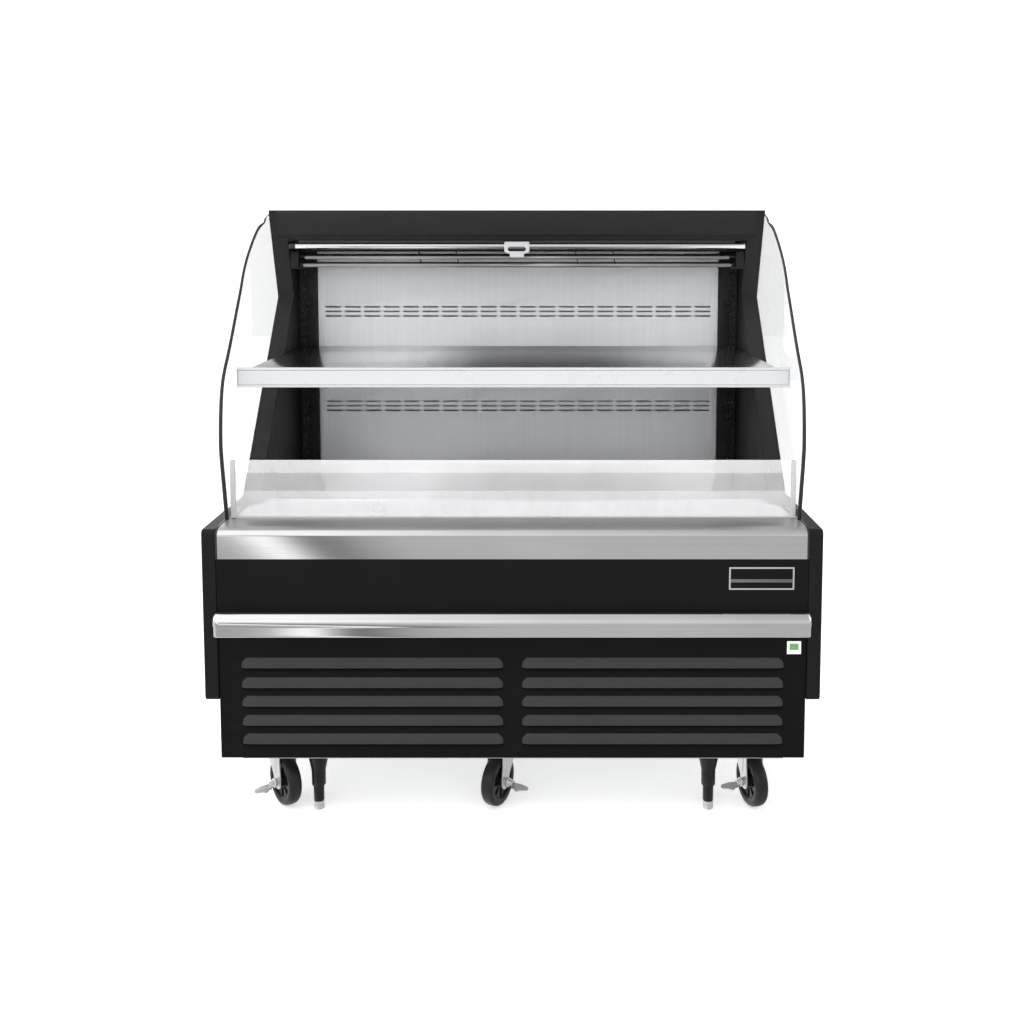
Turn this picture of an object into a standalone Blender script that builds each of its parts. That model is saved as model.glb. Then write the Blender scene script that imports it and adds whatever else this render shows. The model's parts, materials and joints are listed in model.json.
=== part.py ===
"""Open-front refrigerated merchandiser: a self-serve chilled deli case on casters.

Metres, +Z up, floor at z = 0, the shopper stands at -Y. The dimensions below are in
millimetres: x across, t = depth behind the fascia plane, z = height above the floor.
"""

import math

import bmesh
import bpy
from mathutils import Matrix, Vector

MM = 0.001
GAP = 0.3                  # clearance kept between touching pieces

# Overall
DEPTH_ORIGIN = 429.5       # depth of the row origin behind the fascia plane
BODY_HALF = 716.0          # half width of the cabinet body
PANEL_T = 34.0             # thickness of the outer end panels
WALL_IN = 666.0            # inner face of the end walls
INSIDE = 665.4             # half width of what fits between the end walls
BACK_T = 880.0             # rear face of the foamed body
REAR_COVER_T = 889.0
TOP_Z = 1503.0             # top of the end walls
CHASSIS_Z = 158.0          # underside of the chassis

# Machine compartment, tank and walls
TANK_FLOOR = (480.0, 530.0)
REAR_WALL = (800.0, 879.6)
DECK_Z = 745.0
LEDGE_Z = 736.0
LEDGE_FACE = (661.0, 721.0)
FASCIA = (526.0, 660.6)
BUMPER = (474.0, 534.0)
GRILLE = (162.0, 466.0)

# Upper structure
DUCT_T = 746.0
SHELF_Z = 1109.0
SHELF_T = (156.5, 743.0)
RAIL_Z = (1059.0, 1109.0)
HEADER_Z = (1431.0, 1512.0)

# Glass end outline, front edge, from the top down (depth, height)
GLASS_EDGE = [(535, 1490), (520, 1478), (486, 1470), (451, 1459), (400, 1431), (352, 1398),
              (317, 1370), (284, 1334), (261, 1301), (215, 1246), (169, 1189), (126, 1140),
              (90, 1102), (66, 1058), (53, 1000), (47, 942), (50, 901), (63, 839), (76, 778),
              (84, 745), (86, 738)]

# Running gear
WHEEL_R = 62.5
WHEEL_HALF = 17.0
TRAIL = 28.0               # how far the axle trails the kingpin
KINGPIN_T = 115.0
KINGPINS = {               # name: (x, t, yaw degrees, side of the brake pedal, height off the floor)
    "front_left": (-597.0, KINGPIN_T, 39.0, -1, 1.0),
    "front_mid": (-28.0, KINGPIN_T, -27.0, 1, 1.0),
    "front_right": (597.0, KINGPIN_T, 16.0, -1, 1.0),
    "rear_left": (-597.0, 790.0, 180.0, 0, 0.0),
    "rear_right": (597.0, 790.0, 180.0, 0, 0.0),
}
LEG_X = 490.5
LEG_T = 70.0
ROLLER_T, ROLLER_Z, ROLLER_R = 622.0, 1466.0, 22.0
BAR_T, BAR_Z, BAR_R, BAR_HALF = 600.0, 1413.0, 9.5, 658.0


def clear_scene():
    for obj in list(bpy.data.objects):
        bpy.data.objects.remove(obj)


def pt(x, t, z):
    """A point in metres from millimetres across, behind the fascia and above the floor."""
    return Vector((x * MM, (t - DEPTH_ORIGIN) * MM, z * MM))


def material(name, colour, roughness, metallic=0.0, alpha=1.0):
    mat = bpy.data.materials.new(name)
    mat.use_nodes = True
    shader = mat.node_tree.nodes["Principled BSDF"]
    shader.inputs["Base Color"].default_value = (*colour, 1.0)
    shader.inputs["Roughness"].default_value = roughness
    shader.inputs["Metallic"].default_value = metallic
    shader.inputs["Alpha"].default_value = alpha
    mat.diffuse_color = (*colour, alpha)
    return mat


BLACK = ((0.012, 0.012, 0.013), 0.45, 0.0)
STEEL = ((0.56, 0.57, 0.58), 0.28, 1.0)
ZINC = ((0.62, 0.63, 0.65), 0.35, 1.0)
WHITE = ((0.85, 0.86, 0.87), 0.35, 0.0)
RUBBER = ((0.018, 0.018, 0.019), 0.55, 0.0)
GLASS = ((0.9, 0.95, 0.94), 0.03, 0.0, 0.25)
GALV = ((0.5, 0.51, 0.52), 0.45, 1.0)


def make(name, bm, look, origin=None, smooth=0.0):
    """Turns a bmesh in metres into a named object with its origin where asked."""
    bm.normal_update()
    bmesh.ops.recalc_face_normals(bm, faces=bm.faces)
    if bm.calc_volume(signed=True) < 0:
        bmesh.ops.reverse_faces(bm, faces=bm.faces)
    mesh = bpy.data.meshes.new(name)
    bm.to_mesh(mesh)
    bm.free()
    obj = bpy.data.objects.new(name, mesh)
    bpy.context.scene.collection.objects.link(obj)
    if origin is not None:
        mesh.transform(Matrix.Translation(-origin))
        obj.location = origin
    mesh.materials.append(material(name, *look))
    if smooth:
        mesh.shade_smooth()
        mesh.set_sharp_from_angle(angle=math.radians(smooth))
    return obj


def join_meshes(target, others, operation="UNION"):
    """Boolean the other objects into the target, one after another, and drop them."""
    for other in others:
        mod = target.modifiers.new("join", "BOOLEAN")
        mod.operation = operation
        mod.solver = "EXACT"
        mod.object = other
        bpy.context.view_layer.update()
        graph = bpy.context.evaluated_depsgraph_get()
        mesh = bpy.data.meshes.new_from_object(target.evaluated_get(graph))
        target.modifiers.clear()
        old = target.data
        target.data = mesh
        mesh.name = target.name
        bpy.data.meshes.remove(old)
        bpy.data.objects.remove(other)
    return target


def box_bm(x0, x1, t0, t1, z0, z1):
    bm = bmesh.new()
    bmesh.ops.create_cube(bm, size=1.0)
    lo, hi = pt(x0, t0, z0), pt(x1, t1, z1)
    for v in bm.verts:
        v.co = Vector((lo[i] + (v.co[i] + 0.5) * (hi[i] - lo[i]) for i in range(3)))
    return bm


def box(name, x0, x1, t0, t1, z0, z1, look, origin=None):
    return make(name, box_bm(x0, x1, t0, t1, z0, z1), look, origin)


def side_prism_bm(x0, x1, outline):
    """A (t, z) outline extruded across from x0 to x1."""
    bm = bmesh.new()
    face = bm.faces.new([bm.verts.new(pt(x0, t, z)) for t, z in outline])
    out = bmesh.ops.extrude_face_region(bm, geom=[face])
    shift = Vector(((x1 - x0) * MM, 0, 0))
    for g in out["geom"]:
        if isinstance(g, bmesh.types.BMVert):
            g.co += shift
    return bm


def plan_prism_bm(z0, z1, outline):
    """An (x, t) outline extruded up from z0 to z1."""
    bm = bmesh.new()
    face = bm.faces.new([bm.verts.new(pt(x, t, z0)) for x, t in outline])
    out = bmesh.ops.extrude_face_region(bm, geom=[face])
    for g in out["geom"]:
        if isinstance(g, bmesh.types.BMVert):
            g.co += Vector((0, 0, (z1 - z0) * MM))
    return bm


def front_prism_bm(t0, t1, outline):
    """An (x, z) outline extruded back from t0 to t1."""
    bm = bmesh.new()
    face = bm.faces.new([bm.verts.new(pt(x, t0, z)) for x, z in outline])
    out = bmesh.ops.extrude_face_region(bm, geom=[face])
    for g in out["geom"]:
        if isinstance(g, bmesh.types.BMVert):
            g.co += Vector((0, (t1 - t0) * MM, 0))
    return bm


def tray_bm(x0, x1, t0, t1, z0, z1, wall, floor, open_up=True):
    """A folded tray: four walls and a floor (or a top, if it opens downwards)."""
    bm = bmesh.new()
    za, zb = (z0, z1) if open_up else (z1, z0)
    zf = za + floor if open_up else za - floor
    rings = []
    for (a0, a1, b0, b1, z) in ((x0, x1, t0, t1, za), (x0, x1, t0, t1, zb),
                                (x0 + wall, x1 - wall, t0 + wall, t1 - wall, zb),
                                (x0 + wall, x1 - wall, t0 + wall, t1 - wall, zf)):
        rings.append([bm.verts.new(pt(x, t, z)) for x, t in ((a0, b0), (a1, b0), (a1, b1), (a0, b1))])
    bm.faces.new(rings[0])
    bm.faces.new(rings[3])
    for low, high in zip(rings, rings[1:]):
        for i in range(4):
            j = (i + 1) % 4
            bm.faces.new([low[i], low[j], high[j], high[i]])
    return bm


def turned_bm(profile, steps, frame):
    """A closed (radius, along) outline turned about the local X axis of the given frame, in mm."""
    bm = bmesh.new()
    rings = []
    for k in range(steps):
        a = 2 * math.pi * k / steps
        ring = []
        for r, s in profile:
            ring.append(None if r < 1e-9 and k else (r, s, a))
        rings.append(ring)
    verts, poles = [], {}
    for k, ring in enumerate(rings):
        row = []
        for i, (r, s) in enumerate(profile):
            if r < 1e-9:
                if i not in poles:
                    poles[i] = bm.verts.new(frame @ Vector((s * MM, 0, 0)))
                row.append(poles[i])
            else:
                a = 2 * math.pi * k / steps
                row.append(bm.verts.new(frame @ Vector((s * MM, r * MM * math.cos(a), r * MM * math.sin(a)))))
        verts.append(row)
    n = len(profile)
    for k in range(steps):
        a, b = verts[k], verts[(k + 1) % steps]
        for i in range(n):
            j = (i + 1) % n
            corners = []
            for v in (a[i], a[j], b[j], b[i]):
                if v not in corners:
                    corners.append(v)
            if len(corners) >= 3:
                bm.faces.new(corners)
    return bm


def x_axis_frame(x, t, z):
    return Matrix.Translation(pt(x, t, z))


def z_axis_frame(x, t, z):
    return Matrix.Translation(pt(x, t, z)) @ Matrix.Rotation(math.radians(-90), 4, "Y")


def y_axis_frame(x, t, z):
    return Matrix.Translation(pt(x, t, z)) @ Matrix.Rotation(math.radians(90), 4, "Z")


def arc(ct, cz, r, a0, a1, n):
    return [(ct + r * math.cos(math.radians(a0 + (a1 - a0) * i / n)),
             cz + r * math.sin(math.radians(a0 + (a1 - a0) * i / n))) for i in range(n + 1)]


def cabinet():
    # Chassis: a folded tray with rims, that the casters and legs bolt to
    make("base_pan", tray_bm(-664, 664, 9, 879, CHASSIS_Z, 200, 3, 3), GALV)
    # Foamed tank and rear wall in one piece
    make("insulated_body", side_prism_bm(-INSIDE, INSIDE, [
        (42, 480), (REAR_WALL[1], 480), (REAR_WALL[1], TOP_Z), (REAR_WALL[0], TOP_Z),
        (REAR_WALL[0], 530), (102, 530), (102, 650), (42, 650)]), WHITE)
    end = [(42, CHASSIS_Z + 10), (REAR_WALL[1], CHASSIS_Z + 10), (REAR_WALL[1], TOP_Z), (585, TOP_Z),
           (680, 1263), (223, 738), (112, 738), (112, 655), (42, 655)]
    for side, s in (("left", -1), ("right", 1)):
        make(f"end_wall_{side}", side_prism_bm(s * WALL_IN, s * BODY_HALF, end), BLACK)
        edge = [(t, z) for t, z in GLASS_EDGE]
        inner = [(t + 4.2, z) for t, z in edge]
        glass = inner + [(222.4, 738.4), (679.0, 1263.0), (584.2, TOP_Z - 2), (560, TOP_Z - 4)]
        make(f"end_glass_{side}", side_prism_bm(s * 707.0, s * 713.0, glass), GLASS)
        # The trim hugs the glass's front edge: a bent strip, as deep as it is proud of the glass
        outer = [(t - 5.0, z + (2.0 if z > 1150 else 0.0)) for t, z in edge]
        band = outer + [(t + 3.8, z) for t, z in reversed(edge)]
        make(f"glass_trim_{side}", side_prism_bm(s * 705.0, s * 715.5, band), BLACK)
        panel = make(f"end_panel_{side}", side_prism_bm(s * (BODY_HALF + GAP), s * (BODY_HALF + PANEL_T), [
            (0, 322), (4, 312), (14, 308), (846, 308), (856, 312), (860, 322),
            (860, 719), (856, 729), (846, 733), (14, 733), (4, 729), (0, 719)]), BLACK)
        panel.data.shade_flat()
    box("rear_cover", -700, 700, BACK_T + GAP, REAR_COVER_T, 260, TOP_Z, BLACK)
    box("roof_panel", -BODY_HALF, BODY_HALF, 600, BACK_T, TOP_Z + GAP, 1515, BLACK)
    header = [(570, HEADER_Z[0]), (573, HEADER_Z[0]), (573, 1508.4), (599.5, 1508.4),
              (599.5, HEADER_Z[1]), (574, HEADER_Z[1]), (570, 1508)]
    make("header_cover", side_prism_bm(-687, 687, header), BLACK)
    box("ceiling_panel", -INSIDE, INSIDE, 664, 745.4, 1396, 1400, STEEL)

    # Front: ledge, fascia, bumper, grille, glass
    top = arc(15, LEDGE_FACE[1], 15, 180, 90, 6)
    inside = arc(15, LEDGE_FACE[1], 12, 90, 180, 6)
    make("ledge", side_prism_bm(-BODY_HALF + GAP, BODY_HALF - GAP,
                                [(0, LEDGE_FACE[0])] + top + [(111, LEDGE_Z), (111, LEDGE_Z - 3)]
                                + inside + [(3, LEDGE_FACE[0])]), STEEL, smooth=40)
    box("fascia", -BODY_HALF + GAP, BODY_HALF - GAP, 0.2, 3.2, *FASCIA, BLACK)
    z0, z1 = BUMPER
    profile = [(-0.3, z0), (-24, z0), (-26, z0 + 2), (-26, z0 + 26), (-27.5, z0 + 30)]
    profile += [(-22 + dt, z) for dt, z in arc(0, z0 + 44, 8, 205, 120, 5)]
    profile = profile[:5] + arc(-14, z0 + 44, 16, 200, 95, 7) + [(-0.3, z1)]
    bumper = make("bumper_rail", side_prism_bm(-719, 719, profile), STEEL, smooth=35)
    for s in (-1, 1):
        cut = make(f"bumper_end_{s}", plan_prism_bm(z0 - 5, z1 + 5, [
            (s * 703, -36), (s * 725, -36), (s * 725, -8)]), STEEL)
        join_meshes(bumper, [cut], "DIFFERENCE")
    # Pressed panel with two columns of louvre hoods
    grille = make("front_grille", box_bm(-715, 715, 5, 8.2, *GRILLE), BLACK)
    hoods = []
    for x0, x1 in ((-661, -22), (22, 661)):
        for zb in (391, 341.5, 295, 247, 200):
            hoods.append(make("hood", side_prism_bm(x0, x1, [
                (7, zb), (-3, zb), (-3, zb + 6), (5.2, zb + 27), (7, zb + 27)]), BLACK))
    join_meshes(grille, hoods)
    box("front_glass", -700, 700, 103, 108, LEDGE_Z + GAP, 883, GLASS)
    # Return-air grille, wider where it passes in front of the end walls
    make("return_grille", plan_prism_bm(738.6, 741.6, [
        (-INSIDE, 268), (-INSIDE, 221), (-690, 220), (-690, 112), (690, 112), (690, 220),
        (INSIDE, 221), (INSIDE, 268)]), WHITE)
    box("curtain_catch", -11, 11, 113, 124, 742.2, 757, WHITE)

    # Air path and shelf
    box("back_duct_panel", -606, 606, DUCT_T, DUCT_T + 3, 700, 1395.6, STEEL)
    for side, s in (("left", -1), ("right", 1)):
        box(f"shelf_standard_{side}", s * 608, s * 664, DUCT_T - 2, DUCT_T + 6, 700, 1395.6, BLACK)
        make(f"shelf_bracket_{side}", side_prism_bm(s * 649, s * 653, [
            (743.6, 1083.4), (743.6, 1000), (716, 1000), (300, 1062), (300, 1083.4)]), BLACK)
    lift = pt(0, 450, SHELF_Z)
    make("shelf", tray_bm(-660, 660, *SHELF_T, 1083.8, SHELF_Z, 2, 3, open_up=False), STEEL, lift)
    box("shelf_rail", -693, 693, 148, 156.2, *RAIL_Z, WHITE, lift)
    make("deck_pan", tray_bm(-664, 664, 271, 743.4, 715, DECK_Z, 2, 3, open_up=False), STEEL, pt(0, 507, DECK_Z))
    # Angle rails that the deck pans rest on, tied by a cross bar under the return grille
    rails = make("deck_frame", box_bm(-664.8, -640, 240, 743, 706, 714.6), GALV)
    join_meshes(rails, [make("rail_b", box_bm(640, 664.8, 240, 743, 706, 714.6), GALV),
                        make("rail_c", box_bm(-650, 650, 248, 262, 700, 714), GALV),
                        make("rail_d", box_bm(-664.8, 664.8, 246, 264, 713, 737.6), GALV)])

    # Discharge: two blades across, tied by four dividers that hang from the ceiling duct
    blades = make("discharge_grille", side_prism_bm(-627, 627, [
        (640, 1350), (644, 1350), (650, 1366), (646, 1366)]), GALV)
    parts = [make("blade_b", side_prism_bm(-621, 621, [
        (636, 1373), (640, 1373), (646, 1390), (642, 1390)]), GALV)]
    for x in (-285, -175, 175, 285):
        parts.append(make("divider", box_bm(x - 1.5, x + 1.5, 641.5, 663.4, 1356, 1399), GALV))
    join_meshes(blades, parts)


def curtain():
    box_outline = [(587, 1428), (589, 1428), (589, 1498), (653, 1498), (653, 1428), (655, 1428),
                   (655, 1500), (587, 1500)]
    make("curtain_cassette", side_prism_bm(-662, 662, box_outline), BLACK)
    make("curtain_roller", turned_bm([(0, -655), (8, -655), (8, -640), (ROLLER_R, -640), (ROLLER_R, 640),
                                      (8, 640), (8, 655), (0, 655)], 20, x_axis_frame(0, ROLLER_T, ROLLER_Z)),
         GALV, pt(0, ROLLER_T, ROLLER_Z), smooth=40)
    make("curtain_bar", turned_bm([(0, -BAR_HALF), (8.5, -BAR_HALF), (BAR_R, -BAR_HALF + 1),
                                   (BAR_R, BAR_HALF - 1), (8.5, BAR_HALF), (0, BAR_HALF)],
                                  20, x_axis_frame(0, BAR_T, BAR_Z)), STEEL, pt(0, BAR_T, BAR_Z), smooth=40)
    outline = [(-36.5, 1425), (-36.5, 1404), (-30, 1393), (-20, 1389), (-19, 1380), (19, 1380),
               (20, 1389), (30, 1393), (36.5, 1404), (36.5, 1425)]
    handle = make("curtain_handle", front_prism_bm(584.6, 590.0, outline), WHITE, pt(0, BAR_T, BAR_Z))
    hole = make("finger_gap", front_prism_bm(575, 599, [
        (-26, 1399), (-26, 1407), (-22, 1411), (22, 1411), (26, 1407), (26, 1399), (22, 1397), (-22, 1397)]), WHITE)
    join_meshes(handle, [hole], "DIFFERENCE")


def machine():
    make("compressor", turned_bm([(0, 0), (78, 0), (86, 12), (86, 150), (70, 185), (34, 198), (0, 200)],
                                 20, z_axis_frame(-330, 480, 201)), BLACK, smooth=40)
    box("condenser", 60, 470, 70, 130, 202, 440, GALV)
    make("condenser_fan", fan_bm(265, 190, 321, 118, 34, 5, 26), GALV, pt(265, 190, 321), smooth=30)
    motor = make("condenser_motor", turned_bm([(0, 0), (38, 0), (38, 60), (0, 60)], 16, y_axis_frame(265, 212, 321)), BLACK)
    join_meshes(motor, [make("arm", box_bm(259, 271, 225, 240, 203.4, 300), GALV)])
    box("control_box", -640, -470, 60, 210, 201, 350, GALV)
    make("evaporator_fan", fan_bm(0, 340, 612, 66, 22, 5, 24), GALV, pt(0, 340, 612), smooth=30)
    coil = make("evaporator", box_bm(-520, 520, 420, 640, 531, 660), GALV)
    join_meshes(coil, [make("motor", turned_bm([(0, 0), (24, 0), (24, 40), (0, 40)], 16,
                                               y_axis_frame(0, 356, 612)), BLACK),
                       make("arm", box_bm(-16, 16, 390, 424, 598, 626), GALV)])
    box("cord_inlet", 560, 616, 868, 888, 204, 244, BLACK)


def fan_bm(x, t, z, radius, hub, blades, pitch):
    """Hub with twisted paddle blades, spinning about the depth axis. One closed body."""
    frame = y_axis_frame(x, t, z)
    hub_bm = turned_bm([(0, -12), (hub * 0.7, -12), (hub, -6), (hub, 12), (0, 12)], 15, frame)
    main = make("fan_work", hub_bm, GALV)
    others = []
    for k in range(blades):
        bm = bmesh.new()
        bmesh.ops.create_cube(bm, size=1.0)
        turn = Matrix.Rotation(2 * math.pi * k / blades, 4, "X") @ Matrix.Rotation(math.radians(pitch), 4, "Y")
        for v in bm.verts:
            along = v.co.y > 0
            half = (radius * 0.34 if along else hub * 0.42)
            side = half if v.co.z > 0 else -half
            depth = 1.2 if v.co.x > 0 else -1.2
            # x: along the spin axis, y: radial, z: across the blade
            local = Vector((depth, radius if along else hub * 0.72, side)) * MM
            twist = Matrix.Rotation(math.radians(pitch if not along else pitch * 0.7), 4, "Y")
            v.co = frame @ (Matrix.Rotation(2 * math.pi * k / blades, 4, "X") @ (twist @ local))
        others.append(make("blade", bm, GALV))
    join_meshes(main, others)
    out = bmesh.new()
    out.from_mesh(main.data)
    bpy.data.objects.remove(main)
    return out


def caster(name, x, t, yaw, pedal_side, lift):
    origin = pt(x, t, 0)
    turn = Matrix.Translation(origin) @ Matrix.Rotation(math.radians(yaw), 4, "Z")
    axle_z = WHEEL_R + lift

    def place(bm):
        bm.transform(turn)
        return bm

    def local_box(x0, x1, y0, y1, z0, z1):
        bm = bmesh.new()
        bmesh.ops.create_cube(bm, size=1.0)
        for v in bm.verts:
            v.co = Vector(((x0 + x1) / 2 + v.co.x * (x1 - x0), (y0 + y1) / 2 + v.co.y * (y1 - y0),
                           (z0 + z1) / 2 + v.co.z * (z1 - z0))) * MM
        return place(bm)

    def leg(x0, x1):
        outline = [(-37, 140), (-40, 100), (-46, axle_z + 10), (-45, axle_z - 8), (-36, axle_z - 20),
                   (-20, axle_z - 20), (-11, axle_z - 10), (-8, axle_z + 4), (28, 124), (30, 140)]
        bm = bmesh.new()
        face = bm.faces.new([bm.verts.new(Vector((x0, y, z)) * MM) for y, z in outline])
        out = bmesh.ops.extrude_face_region(bm, geom=[face])
        for g in out["geom"]:
            if isinstance(g, bmesh.types.BMVert):
                g.co.x = x1 * MM
        return place(bm)

    fork = make(f"caster_fork_{name}", local_box(-24, 24, -37, 30, 136, 142), ZINC, origin)
    pin = Matrix.Translation(Vector((0, -TRAIL, axle_z)) * MM)
    parts = [make("leg_a", leg(-24, -20.5), ZINC), make("leg_b", leg(20.5, 24), ZINC),
             make("race", turned_bm([(0, 141), (35, 141), (38, 147), (38, 157.6), (0, 157.6)], 20,
                                    turn @ Matrix.Rotation(math.radians(-90), 4, "Y")), ZINC),
             make("axle", turned_bm([(0, -28), (5, -28), (5, 28), (0, 28)], 12, turn @ pin), ZINC)]
    join_meshes(fork, parts)
    axle = turn @ (Vector((0, -TRAIL, axle_z)) * MM)
    profile = [(5.8, -17), (16, -17), (18, -9), (45, -9), (50, -17), (59, -14.5), (WHEEL_R, -7),
               (WHEEL_R, 7), (59, 14.5), (50, 17), (45, 9), (18, 9), (16, 17), (5.8, 17)]
    make(f"caster_wheel_{name}", turned_bm(profile, 24, turn @ pin), RUBBER, axle, smooth=40)
    if pedal_side:
        s = pedal_side
        pedal = make(f"brake_pedal_{name}", turned_bm([(0, s * 28.5), (11, s * 28.5), (11, s * 34), (0, s * 34)],
                                                      16, turn @ pin), ZINC, axle)
        bm = bmesh.new()
        arm = [(-36, axle_z + 2), (-30, axle_z + 9), (4, 52), (8, 42), (2, 38), (-8, 40)]
        face = bm.faces.new([bm.verts.new(Vector((s * 29, y, z)) * MM) for y, z in arm])
        out = bmesh.ops.extrude_face_region(bm, geom=[face])
        for g in out["geom"]:
            if isinstance(g, bmesh.types.BMVert):
                g.co.x = s * 33 * MM
        toe = bmesh.new()
        wing = [(31, -12), (40, -16), (52, -28), (60, -16), (74, -14), (70, 2), (50, 10), (31, 8)]
        face = toe.faces.new([toe.verts.new(Vector((s * a, b, 42)) * MM) for a, b in wing])
        out = bmesh.ops.extrude_face_region(toe, geom=[face])
        for g in out["geom"]:
            if isinstance(g, bmesh.types.BMVert):
                g.co.z = 46 * MM
        join_meshes(pedal, [make("arm", place(bm), ZINC), make("toe", place(toe), ZINC)])


def legs():
    for side, s in (("left", -1), ("right", 1)):
        frame = z_axis_frame(s * LEG_X, LEG_T, 0)
        make(f"leg_sleeve_{side}", turned_bm([(0, 157.7), (30, 157.7), (30, 152), (17.5, 98), (17.5, 63),
                                              (14.2, 63), (14.2, 140), (0, 140)], 20, frame), BLACK, smooth=40)
        make(f"leg_foot_{side}", turned_bm([(0, 0), (12, 0), (13, 1.5), (13, 20), (13.5, 20.5), (13.5, 112), (0, 112)],
                                           20, frame), BLACK, pt(s * LEG_X, LEG_T, 0), smooth=40)


clear_scene()
cabinet()
curtain()
machine()
for caster_name, spec in KINGPINS.items():
    caster(caster_name, *spec)
legs()
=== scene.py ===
"""Looks of the open-front refrigerated merchandiser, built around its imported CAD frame."""
import json
import math

import bmesh
import bpy
from mathutils import Matrix, Vector


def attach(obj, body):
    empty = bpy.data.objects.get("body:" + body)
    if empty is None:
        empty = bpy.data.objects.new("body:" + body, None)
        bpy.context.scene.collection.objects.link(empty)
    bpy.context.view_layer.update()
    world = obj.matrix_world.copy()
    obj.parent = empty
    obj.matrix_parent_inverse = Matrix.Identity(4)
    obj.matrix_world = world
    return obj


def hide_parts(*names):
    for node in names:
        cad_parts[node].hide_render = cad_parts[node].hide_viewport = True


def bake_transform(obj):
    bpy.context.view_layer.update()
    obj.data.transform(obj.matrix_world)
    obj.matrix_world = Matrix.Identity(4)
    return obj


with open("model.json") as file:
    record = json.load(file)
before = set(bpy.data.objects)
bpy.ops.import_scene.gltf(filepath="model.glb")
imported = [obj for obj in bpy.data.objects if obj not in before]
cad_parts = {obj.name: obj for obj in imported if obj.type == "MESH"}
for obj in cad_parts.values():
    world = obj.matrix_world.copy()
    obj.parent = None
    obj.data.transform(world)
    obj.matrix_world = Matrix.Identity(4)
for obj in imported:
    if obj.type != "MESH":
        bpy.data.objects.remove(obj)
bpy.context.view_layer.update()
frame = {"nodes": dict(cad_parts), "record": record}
NODES = frame["nodes"]
MM = 0.001
T0 = 429.5
BODY = {n: b for b, ns in frame["record"]["behaviour"]["bodies"].items() for n in ns}
SLOT = {s["node"]: s["material_slot"] for s in frame["record"]["subparts"]}


def pt(x, t, z):
    """Metres from millimetres across, behind the fascia plane and above the floor."""
    return Vector((x * MM, (t - T0) * MM, z * MM))


# ------------------------------------------------------------------ materials
class Graph:
    """A small helper that builds node trees for a Principled material."""

    def __init__(self, name):
        self.mat = bpy.data.materials.new(name)
        self.mat.use_nodes = True
        self.nt = self.mat.node_tree
        self.bsdf = self.nt.nodes["Principled BSDF"]
        self.coord = self.nt.nodes.new("ShaderNodeTexCoord").outputs["Object"]

    def link(self, a, b):
        self.nt.links.new(a, b)

    def mapped(self, scale, offset=(0, 0, 0)):
        m = self.nt.nodes.new("ShaderNodeMapping")
        m.inputs["Scale"].default_value = scale
        m.inputs["Location"].default_value = offset
        self.link(self.coord, m.inputs["Vector"])
        return m.outputs["Vector"]

    def noise(self, scale, detail=4.0, rough=0.55, stretch=(1, 1, 1), offset=(0, 0, 0)):
        n = self.nt.nodes.new("ShaderNodeTexNoise")
        n.inputs["Scale"].default_value = scale
        n.inputs["Detail"].default_value = detail
        n.inputs["Roughness"].default_value = rough
        self.link(self.mapped(stretch, offset), n.inputs["Vector"])
        return n.outputs["Fac"]

    def remap(self, value, lo, hi, a=0.3, b=0.7):
        m = self.nt.nodes.new("ShaderNodeMapRange")
        m.inputs["From Min"].default_value = a
        m.inputs["From Max"].default_value = b
        m.inputs["To Min"].default_value = lo
        m.inputs["To Max"].default_value = hi
        self.link(value, m.inputs["Value"])
        return m.outputs["Result"]

    def math(self, op, a, b):
        m = self.nt.nodes.new("ShaderNodeMath")
        m.operation = op
        for i, v in enumerate((a, b)):
            if isinstance(v, (int, float)):
                m.inputs[i].default_value = v
            else:
                self.link(v, m.inputs[i])
        return m.outputs["Value"]

    def tint(self, factor, colour):
        """colour times a factor that varies over the surface."""
        m = self.nt.nodes.new("ShaderNodeMix")
        m.data_type = "RGBA"
        m.blend_type = "MULTIPLY"
        m.inputs["Factor"].default_value = 1.0
        if isinstance(colour, tuple):
            m.inputs[6].default_value = (*colour, 1)
        else:
            self.link(colour, m.inputs[6])
        c = self.nt.nodes.new("ShaderNodeCombineColor")
        for i in range(3):
            self.link(factor, c.inputs[i])
        self.link(c.outputs["Color"], m.inputs[7])
        return m.outputs[2]

    def ramp(self, value, stops):
        r = self.nt.nodes.new("ShaderNodeValToRGB")
        el = r.color_ramp.elements
        while len(el) < len(stops):
            el.new(0.5)
        for e, (p, c) in zip(el, stops):
            e.position = p
            e.color = (*((c,) * 3 if isinstance(c, (int, float)) else c), 1)
        self.link(value, r.inputs["Fac"])
        return r.outputs["Color"]

    def bump(self, height, distance, strength=1.0, chain=None):
        b = self.nt.nodes.new("ShaderNodeBump")
        b.inputs["Distance"].default_value = distance
        b.inputs["Strength"].default_value = strength
        self.link(height, b.inputs["Height"])
        if chain is not None:
            self.link(chain, b.inputs["Normal"])
        return b.outputs["Normal"]

    def out(self, colour=None, rough=None, normal=None, metallic=None, **plain):
        for key, value in (("Base Color", colour), ("Roughness", rough), ("Normal", normal), ("Metallic", metallic)):
            if value is None:
                continue
            if isinstance(value, (int, float)):
                self.bsdf.inputs[key].default_value = value
            elif isinstance(value, tuple):
                self.bsdf.inputs[key].default_value = (*value, 1)
            else:
                self.link(value, self.bsdf.inputs[key])
        for key, value in plain.items():
            self.bsdf.inputs[key.replace("_", " ")].default_value = value
        return self.mat


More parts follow.
